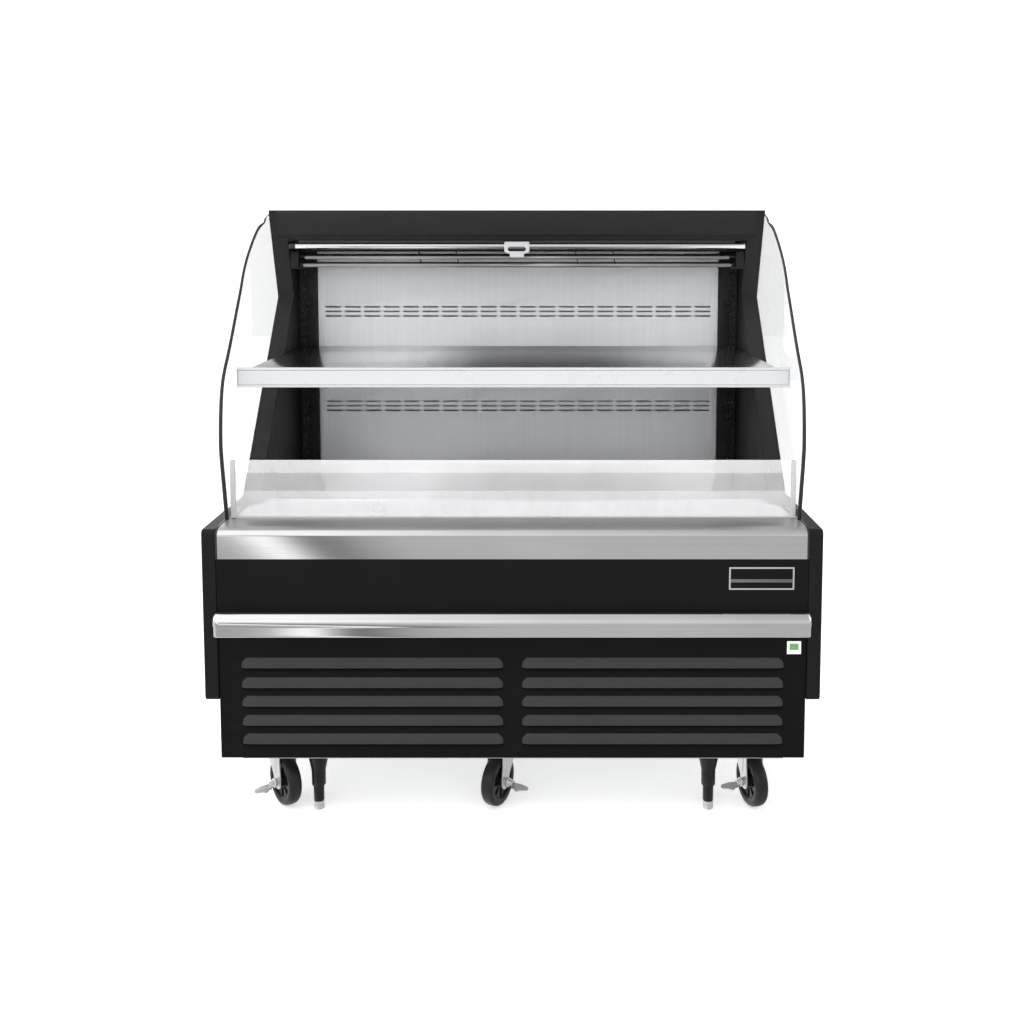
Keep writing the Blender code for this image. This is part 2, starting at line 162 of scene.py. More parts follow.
def powder(name, base, rough=0.48, grain=900, height=0.00012, spec=0.3, dust=0.12):
    g = Graph(name)
    grain_n = g.noise(grain, 3, 0.6)
    broad = g.noise(5, 4, 0.6)
    scuff = g.noise(60, 5, 0.7, (1, 1, 0.25), (3, 1, 7))
    colour = g.tint(g.math("MULTIPLY", g.remap(broad, 1 - dust, 1 + dust), g.remap(grain_n, 0.82, 1.22)), base)
    r = g.math("ADD", g.remap(broad, rough - 0.05, rough + 0.05), g.remap(scuff, -0.03, 0.05))
    return g.out(colour, r, g.bump(grain_n, height, 0.7), 0.0, Specular_IOR_Level=spec)


def brushed(name, base, rough=0.28, along="X", fine=1400, reflection_bands=None, height=0.00003, spread=0.05, wear=0.07, metallic=1.0):
    """Brushed sheet: scratches run along one axis, with slow changes in polish across them; the bands, where given, are
    painted reflection across X in the colour and the specular tint.
    """
    g = Graph(name)
    low = 3.0
    stretch = {"X": (low / fine, 1, 1), "Y": (1, low / fine, 1), "Z": (1, 1, low / fine)}[along]
    wide = {"X": (0.08, 1, 1), "Y": (1, 0.08, 1), "Z": (1, 1, 0.08)}[along]
    scratch = g.noise(fine, 3, 0.65, stretch)
    medium = g.noise(110, 4, 0.6, tuple(0.02 if s < 1 else 1 for s in wide), (2, 5, 1))
    cloud = g.noise(4, 3, 0.55, (1, 1, 1), (1, 4, 2))
    f = g.math("MULTIPLY", g.remap(scratch, 1 - wear, 1 + wear * 0.6), g.remap(medium, 1 - wear * 1.1, 1 + wear * 0.6))
    f = g.math("MULTIPLY", f, g.remap(cloud, 0.96, 1.04))
    edge = None
    # Painted reflection: a ramp across X lightens and darkens the colour in bands standing for reflected surroundings.
    if reflection_bands:
        sep = g.nt.nodes.new("ShaderNodeSeparateXYZ")
        g.link(g.coord, sep.inputs["Vector"])
        x = g.remap(sep.outputs["X"], 0, 1, -0.72, 0.72)
        edge = g.ramp(x, reflection_bands)
        f = g.math("MULTIPLY", f, edge)
    colour = g.tint(f, base)
    r = g.math("ADD", g.remap(scratch, rough - spread, rough + spread), g.remap(cloud, -0.02, 0.03))
    n = g.bump(medium, height * 0.6, 0.35, g.bump(scratch, height, 0.6))
    # The same painted reflection bands also drive the specular tint.
    if edge is not None:
        g.link(edge, g.bsdf.inputs["Specular Tint"])
    return g.out(colour, r, n, metallic)


def plastic(name, base, rough=0.35, grain=700, height=0.00004, spec=0.5, var=0.04):
    g = Graph(name)
    n1 = g.noise(grain, 3, 0.6)
    n2 = g.noise(9, 4, 0.6)
    colour = g.tint(g.remap(n2, 1 - var, 1 + var), base)
    return g.out(colour, g.remap(n2, rough - 0.05, rough + 0.07), g.bump(n1, height, 0.6), 0.0, Specular_IOR_Level=spec)


def plated(name, base, rough=0.33, metallic=1.0, mottled=0.1):
    g = Graph(name)
    n1 = g.noise(38, 5, 0.65)
    n2 = g.noise(420, 3, 0.6)
    colour = g.tint(g.remap(n1, 1 - mottled, 1 + mottled * 0.5), base)
    return g.out(colour, g.remap(n1, rough - 0.07, rough + 0.09), g.bump(n2, 0.00004, 0.5), metallic)


def glass(name, tint=(0.985, 0.99, 1.0), ior=1.18, reflection_veil=None):
    """Clear pane; veil is a list of (height in mm, share): bands by height where the pane is partly non-transmissive, a
    painted reflection on the glass.
    """
    g = Graph(name)
    smear = g.noise(14, 5, 0.65, (1, 1, 0.4))
    colour = g.tint(g.remap(smear, 0.99, 1.0), tint)
    if reflection_veil:
        sep = g.nt.nodes.new("ShaderNodeSeparateXYZ")
        g.link(g.coord, sep.inputs["Vector"])
        lo, hi = reflection_veil[0][0], reflection_veil[-1][0]
        v = g.ramp(g.remap(sep.outputs["Z"], 0, 1, lo * MM, hi * MM), [((z - lo) / (hi - lo), 1 - w) for z, w in reflection_veil])
        v = g.math("MULTIPLY", v, g.remap(smear, 0.97, 1.03))
        g.link(v, g.bsdf.inputs["Transmission Weight"])
    return g.out(colour, g.remap(smear, 0.0, 0.015, 0.45, 0.8), None, 0.0, **({} if reflection_veil else {"Transmission_Weight": 1.0}), IOR=ior)


def rubber(name, base=(0.009, 0.009, 0.0095)):
    g = Graph(name)
    n1 = g.noise(260, 4, 0.6)
    n2 = g.noise(18, 5, 0.65)
    colour = g.tint(g.remap(n2, 0.8, 1.7), base)
    return g.out(colour, g.remap(n2, 0.3, 0.46), g.bump(n1, 0.00006, 0.6), 0.0, Specular_IOR_Level=0.25)


def fins(name, base, along="X", pitch=0.0028):
    g = Graph(name)
    # Wave bands at the fin pitch: the dark stripes are painted shade in the gaps between fins.
    w = g.nt.nodes.new("ShaderNodeTexWave")
    w.wave_type = "BANDS"
    w.bands_direction = along
    w.inputs["Scale"].default_value = 0.314 / pitch
    w.inputs["Distortion"].default_value = 0.25
    g.link(g.coord, w.inputs["Vector"])
    dirt = g.noise(25, 4, 0.6)
    f = g.math("MULTIPLY", g.remap(w.outputs["Fac"], 0.25, 1.0, 0.2, 0.8), g.remap(dirt, 0.8, 1.1))
    return g.out(g.tint(f, base), g.remap(dirt, 0.35, 0.5), g.bump(w.outputs["Fac"], 0.0008, 0.7), 0.9)


def cloth(name, base):
    """Woven night-curtain fabric: fine plain weave with a slight sheen."""
    g = Graph(name)
    waves = []
    for direction in ("X", "Z"):
        w = g.nt.nodes.new("ShaderNodeTexWave")
        w.wave_type = "BANDS"
        w.bands_direction = direction
        w.inputs["Scale"].default_value = 190
        w.inputs["Distortion"].default_value = 0.6
        g.link(g.coord, w.inputs["Vector"])
        waves.append(w.outputs["Fac"])
    weave = g.math("MAXIMUM", waves[0], waves[1])
    n = g.noise(30, 4, 0.6)
    f = g.math("MULTIPLY", g.remap(weave, 0.72, 1.06, 0, 1), g.remap(n, 0.92, 1.06))
    return g.out(g.tint(f, base), g.remap(n, 0.62, 0.78), g.bump(weave, 0.00012, 0.8), 0.0, Sheen_Weight=0.25)


M = {}
M["header"] = powder("header_black", (0.011, 0.011, 0.0115), 0.5, 800, 0.00009, 0.28)
M["fascia"] = powder("fascia_black", (0.0042, 0.0042, 0.0044), 0.5, 700, 0.00005, 0.11)
M["grille"] = powder("grille_texture_black", (0.0035, 0.0035, 0.0037), 0.58, 520, 0.0003, 0.1, 0.2)
# Brighter copy of the grille's black coat for the hoods: painted light on the hoods that face up.
M["hood"] = powder("hood_lit_black", (0.0235, 0.0235, 0.024), 0.55, 520, 0.0003, 0.3, 0.08)
M["wall"] = powder("wall_black", (0.013, 0.013, 0.0135), 0.5, 600, 0.00008, 0.3)
M["wall_edge"] = powder("panel_black", (0.005, 0.0057, 0.0057), 0.45, 650, 0.00008, 0.16)
M["strip"] = powder("strip_black", (0.010, 0.010, 0.0105), 0.5, 700, 0.00006, 0.25)
M["trim"] = plastic("trim_black", (0.016, 0.016, 0.017), 0.38, 500, 0.00005, 0.4, 0.15)
M["plug"] = plastic("plug_black", (0.006, 0.006, 0.006), 0.5, 500, 0.00005, 0.25, 0.15)
M["ledge"] = brushed("ledge_steel", (0.62, 0.62, 0.62), 0.052, "X", 1500, spread=0.012, height=0.000006, wear=0.03)
M["bumper"] = brushed("bumper_steel", (0.64, 0.64, 0.64), 0.055, "X", 1400, spread=0.015, height=0.000006, wear=0.05)
M["duct"] = brushed("duct_steel", (0.68, 0.69, 0.71), 0.5, "Z", 1100, height=0.00001, spread=0.04, wear=0.035, metallic=0.25)
# Darker, half-metallic copy of the ledge steel for the top faces: painted shade standing for the dark interior
# reflected in the top.
M["ledge_top"] = brushed("ledge_top_shaded_steel", (0.32, 0.32, 0.32), 0.34, "X", 1200, spread=0.02, height=0.000006, wear=0.03, metallic=0.5)
# Painted reflection: light and dark bands across the shelf and deck stand for the back wall reflected in the steel,
# fixed in the material.
SHELF_REFLECTION_BANDS = [(0.0, 0.78), (0.08, 0.66), (0.177, 1.15), (0.274, 1.3), (0.37, 0.78), (0.448, 0.42), (0.54, 0.36), (0.66, 0.4), (0.78, 0.78), (0.9, 1.12), (1.0, 0.66)]
M["shelf"] = brushed("shelf_steel", (0.74, 0.735, 0.73), 0.16, "Y", 1300, reflection_bands=SHELF_REFLECTION_BANDS, spread=0.03, height=0.00001, wear=0.05)
M["deck"] = brushed("deck_steel", (0.78, 0.775, 0.77), 0.2, "Y", 1300, reflection_bands=SHELF_REFLECTION_BANDS, spread=0.04, height=0.00001, wear=0.05)
M["bar"] = brushed("bar_steel", (0.72, 0.71, 0.69), 0.2, "X", 1500)
# The blade's bands are painted reflection and highlights across X.
M["blade"] = brushed("blade_steel", (0.40, 0.395, 0.38), 0.3, "X", 1200, reflection_bands=[(0.0, 0.6), (0.06, 0.65), (0.12, 0.85), (0.24, 1.1), (0.33, 0.9), (0.4, 0.8), (0.48, 1.05), (0.56, 1.4), (0.64, 0.85), (0.72, 1.1), (0.85, 0.8), (1.0, 0.5)])
M["screw"] = plated("screw_steel", (0.6, 0.6, 0.6), 0.28)
M["screw_black"] = plastic("screw_black", (0.02, 0.02, 0.02), 0.35, 400, 0.00003, 0.5, 0.1)
M["galv"] = plated("galvanised", (0.52, 0.53, 0.54), 0.42, 1.0, 0.22)
M["zinc"] = plated("zinc_plate", (0.66, 0.66, 0.67), 0.34, 0.85, 0.12)
M["white"] = plastic("white_extrusion", (0.49, 0.498, 0.512), 0.3, 500, 0.00003, 0.5, 0.02)
M["white_metal"] = powder("white_coat", (0.5, 0.505, 0.515), 0.4, 700, 0.00006, 0.45, 0.02)
M["foam"] = plastic("tank_skin", (0.8, 0.81, 0.82), 0.42, 300, 0.00005, 0.4, 0.04)
M["glass"] = glass("clear_glass", tint=(0.94, 0.945, 0.95))
# The veil paints pale reflection bands by height into the low front glass.
M["dam_glass"] = glass("air_dam_glass", tint=(0.99, 0.985, 0.995), reflection_veil=[(736, 0.27), (803, 0.27), (807, 0.175), (848, 0.175), (852, 0.27), (884, 0.28)])
M["rubber"] = rubber("wheel_rubber")
M["leg"] = plastic("leg_black", (0.008, 0.008, 0.0083), 0.16, 400, 0.00002, 0.22, 0.12)
M["fins"] = fins("coil_fins", (0.6, 0.61, 0.62), "X")
M["copper"] = plated("copper_pipe", (0.78, 0.42, 0.27), 0.32, 1.0, 0.18)
M["fabric"] = cloth("curtain_cloth", (0.05, 0.05, 0.052))
M["pot"] = powder("compressor_black", (0.012, 0.012, 0.012), 0.35, 500, 0.0001, 0.5)
M["bright"] = brushed("bright_edge", (0.8, 0.8, 0.8), 0.14, "X", 1400)
M["sticker"] = plastic("sticker_white", (0.82, 0.86, 0.8), 0.45, 500, 0.00002, 0.4, 0.03)
M["sticker_green"] = plastic("sticker_green", (0.12, 0.3, 0.1), 0.45, 500, 0.00002, 0.4, 0.05)


# ------------------------------------------------------------------ geometry helpers
def obj_from(bm, name, body, mat, smooth=35, bevel=0.0, segments=2, slot=None, replaces=()):
    bm.normal_update()
    bmesh.ops.recalc_face_normals(bm, faces=bm.faces)
    mesh = bpy.data.meshes.new(name)
    bm.to_mesh(mesh)
    bm.free()
    return dress(mesh, name, body, mat, smooth, bevel, segments, slot, replaces)


def dress(mesh, name, body, mat, smooth=35, bevel=0.0, segments=2, slot=None, replaces=(), ride=True):
    obj = bpy.data.objects.new(name, mesh)
    bpy.context.scene.collection.objects.link(obj)
    if len(mesh.materials):
        mesh.materials.clear()
    mesh.materials.append(mat)
    mesh.shade_smooth()
    mesh.set_sharp_from_angle(angle=math.radians(smooth))
    if bevel:
        mod = obj.modifiers.new("edge", "BEVEL")
        mod.width = bevel * MM
        mod.segments = segments
        mod.limit_method = "ANGLE"
        mod.angle_limit = math.radians(32)
        mod.harden_normals = True
    if ride:
        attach(obj, body)
    if replaces:
        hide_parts(*replaces)
        slot = slot or SLOT[replaces[0]]
    return obj


def keep(node, mat, bevel=0.8, segments=2, smooth=40):
    """Gives a CAD node its material and softened edges."""
    obj = NODES[node]
    mesh = obj.data
    mesh.materials.clear()
    mesh.materials.append(mat)
    if "custom_normal" in mesh.attributes:
        mesh.attributes.remove(mesh.attributes["custom_normal"])
    mesh.shade_smooth()
    weld = obj.modifiers.new("weld", "WELD")
    weld.merge_threshold = 0.00001
    if bevel:
        mod = obj.modifiers.new("edge", "BEVEL")
        mod.width = bevel * MM
        mod.segments = segments
        mod.limit_method = "ANGLE"
        mod.angle_limit = math.radians(smooth)
        mod.harden_normals = True
    return obj


def add_box(bm, x0, x1, t0, t1, z0, z1):
    lo, hi = pt(min(x0, x1), min(t0, t1), min(z0, z1)), pt(max(x0, x1), max(t0, t1), max(z0, z1))
    vs = [bm.verts.new((lo.x if i & 1 == 0 else hi.x, lo.y if i & 2 == 0 else hi.y, lo.z if i & 4 == 0 else hi.z)) for i in range(8)]
    for f in ((0, 2, 3, 1), (4, 5, 7, 6), (0, 1, 5, 4), (2, 6, 7, 3), (0, 4, 6, 2), (1, 3, 7, 5)):
        bm.faces.new([vs[i] for i in f])
    return vs


def slab(name, body, mat, x0, x1, t0, t1, z0, z1, bevel=1.0, segments=3, **kw):
    bm = bmesh.new()
    add_box(bm, x0, x1, t0, t1, z0, z1)
    return obj_from(bm, name, body, mat, 30, bevel, segments, **kw)


def prism(bm, points, shift):
    """A closed outline of 3-D points moved along a vector to make a solid."""
    a = [bm.verts.new(p) for p in points]
    b = [bm.verts.new(p + shift) for p in points]
    bm.faces.new(a)
    bm.faces.new(list(reversed(b)))
    for i in range(len(a)):
        j = (i + 1) % len(a)
        bm.faces.new([a[i], b[i], b[j], a[j]])


def side_prism(name, body, mat, x0, x1, outline, bevel=0.0, smooth=35, segments=2, **kw):
    bm = bmesh.new()
    prism(bm, [pt(x0, t, z) for t, z in outline], Vector(((x1 - x0) * MM, 0, 0)))
    return obj_from(bm, name, body, mat, smooth, bevel, segments, **kw)


def arc(cx, cy, r, a0, a1, n):
    return [(cx + r * math.cos(math.radians(a0 + (a1 - a0) * i / n)),
             cy + r * math.sin(math.radians(a0 + (a1 - a0) * i / n))) for i in range(n + 1)]


def add_turned(bm, profile, steps, matrix):
    """(radius, along) outline turned about the matrix's X axis; ends on the axis are closed."""
    rows = []
    poles = {}
    for k in range(steps):
        a = 2 * math.pi * k / steps
        row = []
        for i, (r, s) in enumerate(profile):
            if r < 1e-6:
                if i not in poles:
                    poles[i] = bm.verts.new(matrix @ Vector((s * MM, 0, 0)))
                row.append(poles[i])
            else:
                row.append(bm.verts.new(matrix @ Vector((s * MM, r * MM * math.cos(a), r * MM * math.sin(a)))))
        rows.append(row)
    closed = profile[0][0] > 1e-6
    count = len(profile) if closed else len(profile) - 1
    for k in range(steps):
        a, b = rows[k], rows[(k + 1) % steps]
        for i in range(count):
            j = (i + 1) % len(profile)
            corners = []
            for v in (a[i], a[j], b[j], b[i]):
                if v not in corners:
                    corners.append(v)
            if len(corners) > 2:
                bm.faces.new(corners)


def turned(name, body, mat, profile, steps, matrix, smooth=35, **kw):
    bm = bmesh.new()
    add_turned(bm, profile, steps, matrix)
    return obj_from(bm, name, body, mat, smooth, **kw)


def x_frame(x, t, z):
    return Matrix.Translation(pt(x, t, z))


def y_frame(x, t, z):
    return Matrix.Translation(pt(x, t, z)) @ Matrix.Rotation(math.radians(90), 4, "Z")


def z_frame(x, t, z):
    return Matrix.Translation(pt(x, t, z)) @ Matrix.Rotation(math.radians(-90), 4, "Y")


def plate_holes(name, body, mat, outline, holes, thick, place, bevel=0.25, **kw):
    """A sheet with real holes: outline and holes are loops of 2-D points in mm; place maps local to world."""
    cu = bpy.data.curves.new(name, "CURVE")
    cu.dimensions = "2D"
    cu.fill_mode = "BOTH"
    cu.extrude = thick * MM / 2
    cu.bevel_depth = bevel * MM
    cu.bevel_resolution = 1
    cu.offset = -bevel * MM
    for loop in [outline] + holes:
        sp = cu.splines.new("POLY")
        sp.points.add(len(loop) - 1)
        for p, (x, y) in zip(sp.points, loop):
            p.co = (x * MM, y * MM, 0, 1)
        sp.use_cyclic_u = True
    tmp = bpy.data.objects.new(name + "_work", cu)
    bpy.context.scene.collection.objects.link(tmp)
    bpy.context.view_layer.update()
    mesh = bpy.data.meshes.new_from_object(tmp.evaluated_get(bpy.context.evaluated_depsgraph_get()))
    bpy.data.objects.remove(tmp)
    mesh.name = name
    mesh.transform(place)
    bm = bmesh.new()
    bm.from_mesh(mesh)
    bmesh.ops.remove_doubles(bm, verts=bm.verts, dist=0.000002)
    bpy.data.meshes.remove(mesh)
    return obj_from(bm, name, body, mat, 30, **kw)


def obround(cx, cy, length, height, n=4):
    r = height / 2
    return arc(cx + length / 2 - r, cy, r, -90, 90, n) + arc(cx - length / 2 + r, cy, r, 90, 270, n)


def upright(t):
    """Local (x, y, out) of a plate onto the plane at depth t, with local y up and the back towards +Y."""
    return Matrix.Translation(pt(0, t, 0)) @ Matrix.Rotation(math.radians(90), 4, "X")


def flat_at(z):
    return Matrix.Translation(Vector((0, -T0 * MM, z * MM)))


def screws(name, body, mat, places, r=4.2, h=1.8, head="cross"):
    """Pan-head screws; each place is (point, outward direction)."""
    bm = bmesh.new()
    for p, out in places:
        q = Vector(out).to_track_quat("X", "Z").to_matrix().to_4x4()
        m = Matrix.Translation(p) @ q
        add_turned(bm, [(0, -0.4), (r, -0.4), (r, h * 0.25), (r * 0.86, h * 0.72), (r * 0.5, h), (r * 0.2, h), (r * 0.14, h * 0.35), (0, h * 0.35)], 16, m)
        for w in (0, 1):
            a, b = (r * 0.56, r * 0.11) if w else (r * 0.11, r * 0.56)
            vs = []
            for sx, sy, sz in ((0, 0, 0), (0, 1, 0), (0, 1, 1), (0, 0, 1), (1, 0, 0), (1, 1, 0), (1, 1, 1), (1, 0, 1)):
                vs.append(bm.verts.new(m @ (Vector((h * (0.9 + 0.14 * sx), a * (2 * sy - 1), b * (2 * sz - 1))) * MM)))
            for f in ((0, 1, 2, 3), (7, 6, 5, 4), (0, 4, 5, 1), (1, 5, 6, 2), (2, 6, 7, 3), (3, 7, 4, 0)):
                bm.faces.new([vs[i] for i in f])
    return obj_from(bm, name, body, mat, 40)


def tube_along(name, body, mat, points, radius, **kw):
    """A bent pipe through points in mm, with rounded bends."""
    cu = bpy.data.curves.new(name, "CURVE")
    cu.dimensions = "3D"
    cu.bevel_depth = radius * MM
    cu.bevel_resolution = 5
    cu.use_fill_caps = True
    sp = cu.splines.new("POLY")
    smooth = []
    ps = [pt(*p) for p in points]
    for i, p in enumerate(ps):
        if 0 < i < len(ps) - 1:
            a, b = (ps[i - 1] - p), (ps[i + 1] - p)
            r = min(radius * 3 * MM, a.length * 0.45, b.length * 0.45)
            s, e = p + a.normalized() * r, p + b.normalized() * r
            for k in range(7):
                u = k / 6
                smooth.append(s * (1 - u) ** 2 + p * 2 * u * (1 - u) + e * u * u)
        else:
            smooth.append(p)
    sp.points.add(len(smooth) - 1)
    for q, p in zip(sp.points, smooth):
        q.co = (*p, 1)
    tmp = bpy.data.objects.new(name + "_work", cu)
    bpy.context.scene.collection.objects.link(tmp)
    bpy.context.view_layer.update()
    mesh = bpy.data.meshes.new_from_object(tmp.evaluated_get(bpy.context.evaluated_depsgraph_get()))
    bpy.data.objects.remove(tmp)
    mesh.name = name
    return dress(mesh, name, body, mat, 50, **kw)


ROOT = "cabinet"

# ------------------------------------------------------------------ camera and light first
cam = bpy.data.objects.new("camera", bpy.data.cameras.new("camera"))
bpy.context.scene.collection.objects.link(cam)
bpy.context.scene.camera = cam
PITCH = 4.98
cam.data.sensor_width = 36.0
cam.data.lens = 39.11
cam.data.shift_x = -0.0279
cam.data.shift_y = -0.1675
cam.location = (0.0683, -3.0567, 1.4195)
cam.rotation_euler = (math.radians(90 - PITCH), 0, 0)

world = bpy.data.worlds.new("studio")
bpy.context.scene.world = world
world.use_nodes = True
wn = world.node_tree
wn.nodes.clear()
w_out = wn.nodes.new("ShaderNodeOutputWorld")
w_bg = wn.nodes.new("ShaderNodeBackground")
w_cam = wn.nodes.new("ShaderNodeBackground")
w_cam.inputs["Color"].default_value = (1, 1, 1, 1)
w_cam.inputs["Strength"].default_value = 1.35
w_mix = wn.nodes.new("ShaderNodeMixShader")
w_u = wn.nodes.new("ShaderNodeMath")
w_u.operation = "MULTIPLY_ADD"
w_v = wn.nodes.new("ShaderNodeMath")
w_v.operation = "ADD"
w_path = wn.nodes.new("ShaderNodeLightPath")
w_tc = wn.nodes.new("ShaderNodeTexCoord")
w_sep = wn.nodes.new("ShaderNodeSeparateXYZ")
wn.links.new(w_tc.outputs["Generated"], w_sep.inputs["Vector"])


def w_ramp(socket, lo, hi, stops):
    m = wn.nodes.new("ShaderNodeMapRange")
    m.inputs["From Min"].default_value = lo
    m.inputs["From Max"].default_value = hi
    wn.links.new(socket, m.inputs["Value"])
    r = wn.nodes.new("ShaderNodeValToRGB")
    el = r.color_ramp.elements
    while len(el) < len(stops):
        el.new(0.5)
    for e, (p, c) in zip(el, stops):
        e.position = p
        e.color = (c, c, c, 1)
    wn.links.new(m.outputs["Result"], r.inputs["Fac"])
    return r.outputs["Color"]


# Height: bright overhead, a little dimmer below. Across, for what faces the front: a bright screen on
# one side, a dark gap beside it, then an even grey; the pattern fades out above the horizon.
wn.links.new(w_sep.outputs["Z"], w_u.inputs[0])
w_u.inputs[1].default_value = 0.3
w_u.inputs[2].default_value = 0.077
wn.links.new(w_u.outputs["Value"], w_v.inputs[0])
wn.links.new(w_sep.outputs["X"], w_v.inputs[1])
up = w_ramp(w_sep.outputs["Z"], -1, 1, [(0.0, 0.9), (0.47, 1.0), (0.52, 1.25), (0.66, 1.3), (0.85, 1.1), (1.0, 1.0)])
ACROSS = [(-1, 0.8), (-0.45, 0.8), (-0.29, 0.7), (-0.265, 0.84), (-0.25, 1.0), (-0.24, 1.4), (-0.229, 2.0), (-0.221, 2.25), (-0.2095, 1.5),
          (-0.198, 0.74), (-0.1865, 0.42), (-0.175, 0.32), (-0.16, 0.46), (-0.1445, 0.63), (-0.114, 0.82), (-0.083, 0.86), (-0.05, 0.89),
          (0.0, 0.9), (0.3, 0.82), (1, 0.8)]
side = w_ramp(w_v.outputs["Value"], -1, 1, [((u + 1) / 2, v) for u, v in ACROSS])
mask = w_ramp(w_sep.outputs["Y"], -1, 1, [(0.0, 1.0), (0.12, 1.0), (0.3, 0.0)])
low = w_ramp(w_sep.outputs["Z"], -1, 1, [(0.0, 1.0), (0.5, 1.0), (0.66, 0.3), (1.0, 0.2)])
w_fac = wn.nodes.new("ShaderNodeMath")
w_fac.operation = "MULTIPLY"
wn.links.new(mask, w_fac.inputs[0])
wn.links.new(low, w_fac.inputs[1])
w_one = wn.nodes.new("ShaderNodeMix")
w_one.data_type = "RGBA"
high = w_ramp(w_sep.outputs["X"], -1, 1, [(0.0, 1.2), (0.34, 1.95), (0.4, 1.8), (0.46, 1.35), (0.5, 1.12), (0.6, 0.84), (1.0, 0.9)])
wn.links.new(high, w_one.inputs[6])
wn.links.new(w_fac.outputs["Value"], w_one.inputs["Factor"])
wn.links.new(side, w_one.inputs[7])
w_mul = wn.nodes.new("ShaderNodeMix")
w_mul.data_type = "RGBA"
w_mul.blend_type = "MULTIPLY"
w_mul.inputs["Factor"].default_value = 1.0
wn.links.new(up, w_mul.inputs[6])
wn.links.new(w_one.outputs[2], w_mul.inputs[7])
wn.links.new(w_mul.outputs[2], w_bg.inputs["Color"])
w_bg.inputs["Strength"].default_value = 0.8
w_see = wn.nodes.new("ShaderNodeMath")
w_see.operation = "MAXIMUM"
wn.links.new(w_path.outputs["Is Transmission Ray"], w_see.inputs[1])
wn.links.new(w_path.outputs["Is Camera Ray"], w_see.inputs[0])
wn.links.new(w_see.outputs["Value"], w_mix.inputs["Fac"])
wn.links.new(w_bg.outputs["Background"], w_mix.inputs[1])
wn.links.new(w_cam.outputs["Background"], w_mix.inputs[2])
wn.links.new(w_mix.outputs["Shader"], w_out.inputs["Surface"])


def area(name, energy, size, loc, target, colour=(1, 1, 1), glossy=True):
    data = bpy.data.lights.new(name, "AREA")
    data.shape = "RECTANGLE"
    data.size, data.size_y = size
    data.energy = energy
    data.color = colour
    obj = bpy.data.objects.new(name, data)
    obj.location = loc
    obj.rotation_euler = (Vector(target) - Vector(loc)).to_track_quat("-Z", "Y").to_euler()
    bpy.context.scene.collection.objects.link(obj)
    obj.visible_glossy = glossy
    return obj


area("key_top", 34, (3.0, 1.6), (-0.6, -1.6, 3.6), (0, 0, 0.7), glossy=False)
area("inside_fill", 11, (2.6, 0.5), (0, -2.3, 0.86), (0, 0.3, 0.98), glossy=False)
area("fill_front", 6, (3.2, 1.4), (0.8, -4.6, 2.6), (0, 0, 0.8), glossy=False)
area("rim_left", 16, (1.0, 2.2), (-3.2, -0.6, 1.8), (0, 0, 0.8))
area("rim_right", 14, (1.0, 2.2), (3.2, -0.8, 1.8), (0, 0, 0.8))
bpy.context.scene.view_settings.view_transform = "Standard"

bm = bmesh.new()
bmesh.ops.create_grid(bm, x_segments=2, y_segments=2, size=14)
floor_mesh = bpy.data.meshes.new("floor")
bm.to_mesh(floor_mesh)
bm.free()
floor = bpy.data.objects.new("floor", floor_mesh)
bpy.context.scene.collection.objects.link(floor)
g = Graph("floor_pale")
fn = g.noise(3, 4, 0.6)
floor_mesh.materials.append(g.out(g.tint(g.remap(fn, 0.985, 1.0), (0.93, 0.93, 0.935)), g.remap(fn, 0.55, 0.65), g.bump(g.noise(300, 3), 0.0001, 0.3), 0.0, Specular_IOR_Level=0.25, Emission_Color=(1, 1, 1, 1), Emission_Strength=0.45))
floor.visible_glossy = False

# ------------------------------------------------------------------ lower front
# Ledge: brushed sheet folded over a round nose
def nose(a, b, ct, cz, n=22):
    return [(ct - a * math.cos(math.pi / 2 * i / n), cz + b * math.sin(math.pi / 2 * i / n)) for i in range(n + 1)]


ledge_out = [(0.0, 661.0)] + nose(33.0, 19.0, 33.0, 717.0) + [(111, 736.0)]
ledge_in = [(111, 734.4)] + nose(31.4, 17.4, 33.0, 717.0)[::-1] + [(1.6, 661.0)]
ledge_obj = side_prism("ledge_sheet", ROOT, M["ledge"], -715.6, 715.6, ledge_out + ledge_in, 0.0, 30, replaces=("ledge",))
# Upward faces of the same sheet take the darker copy: painted shade.
ledge_obj.data.materials.append(M["ledge_top"])
for face in ledge_obj.data.polygons:
    if face.normal.z > 0.85:
        face.material_index = len(ledge_obj.data.materials) - 1
for side, s in (("left", -1), ("right", 1)):
    outer = [(-1.2, 661.0)] + nose(34.4, 20.6, 33.2, 717.0) + [(96, 737.6)]
    inner = [(96, 733)] + nose(29, 15, 33.0, 717.0)[::-1] + [(4.0, 661.0)]
    side_prism(f"ledge_end_seal_{side}", ROOT, M["trim"], s * 711.6, s * 716.2, outer + inner, 0.0, 35, slot="black_trim")
# Fascia
slab("fascia_panel", ROOT, M["fascia"], -715.6, 715.6, 0.4, 3.2, 526, 660.4, 0.8, replaces=("fascia",))
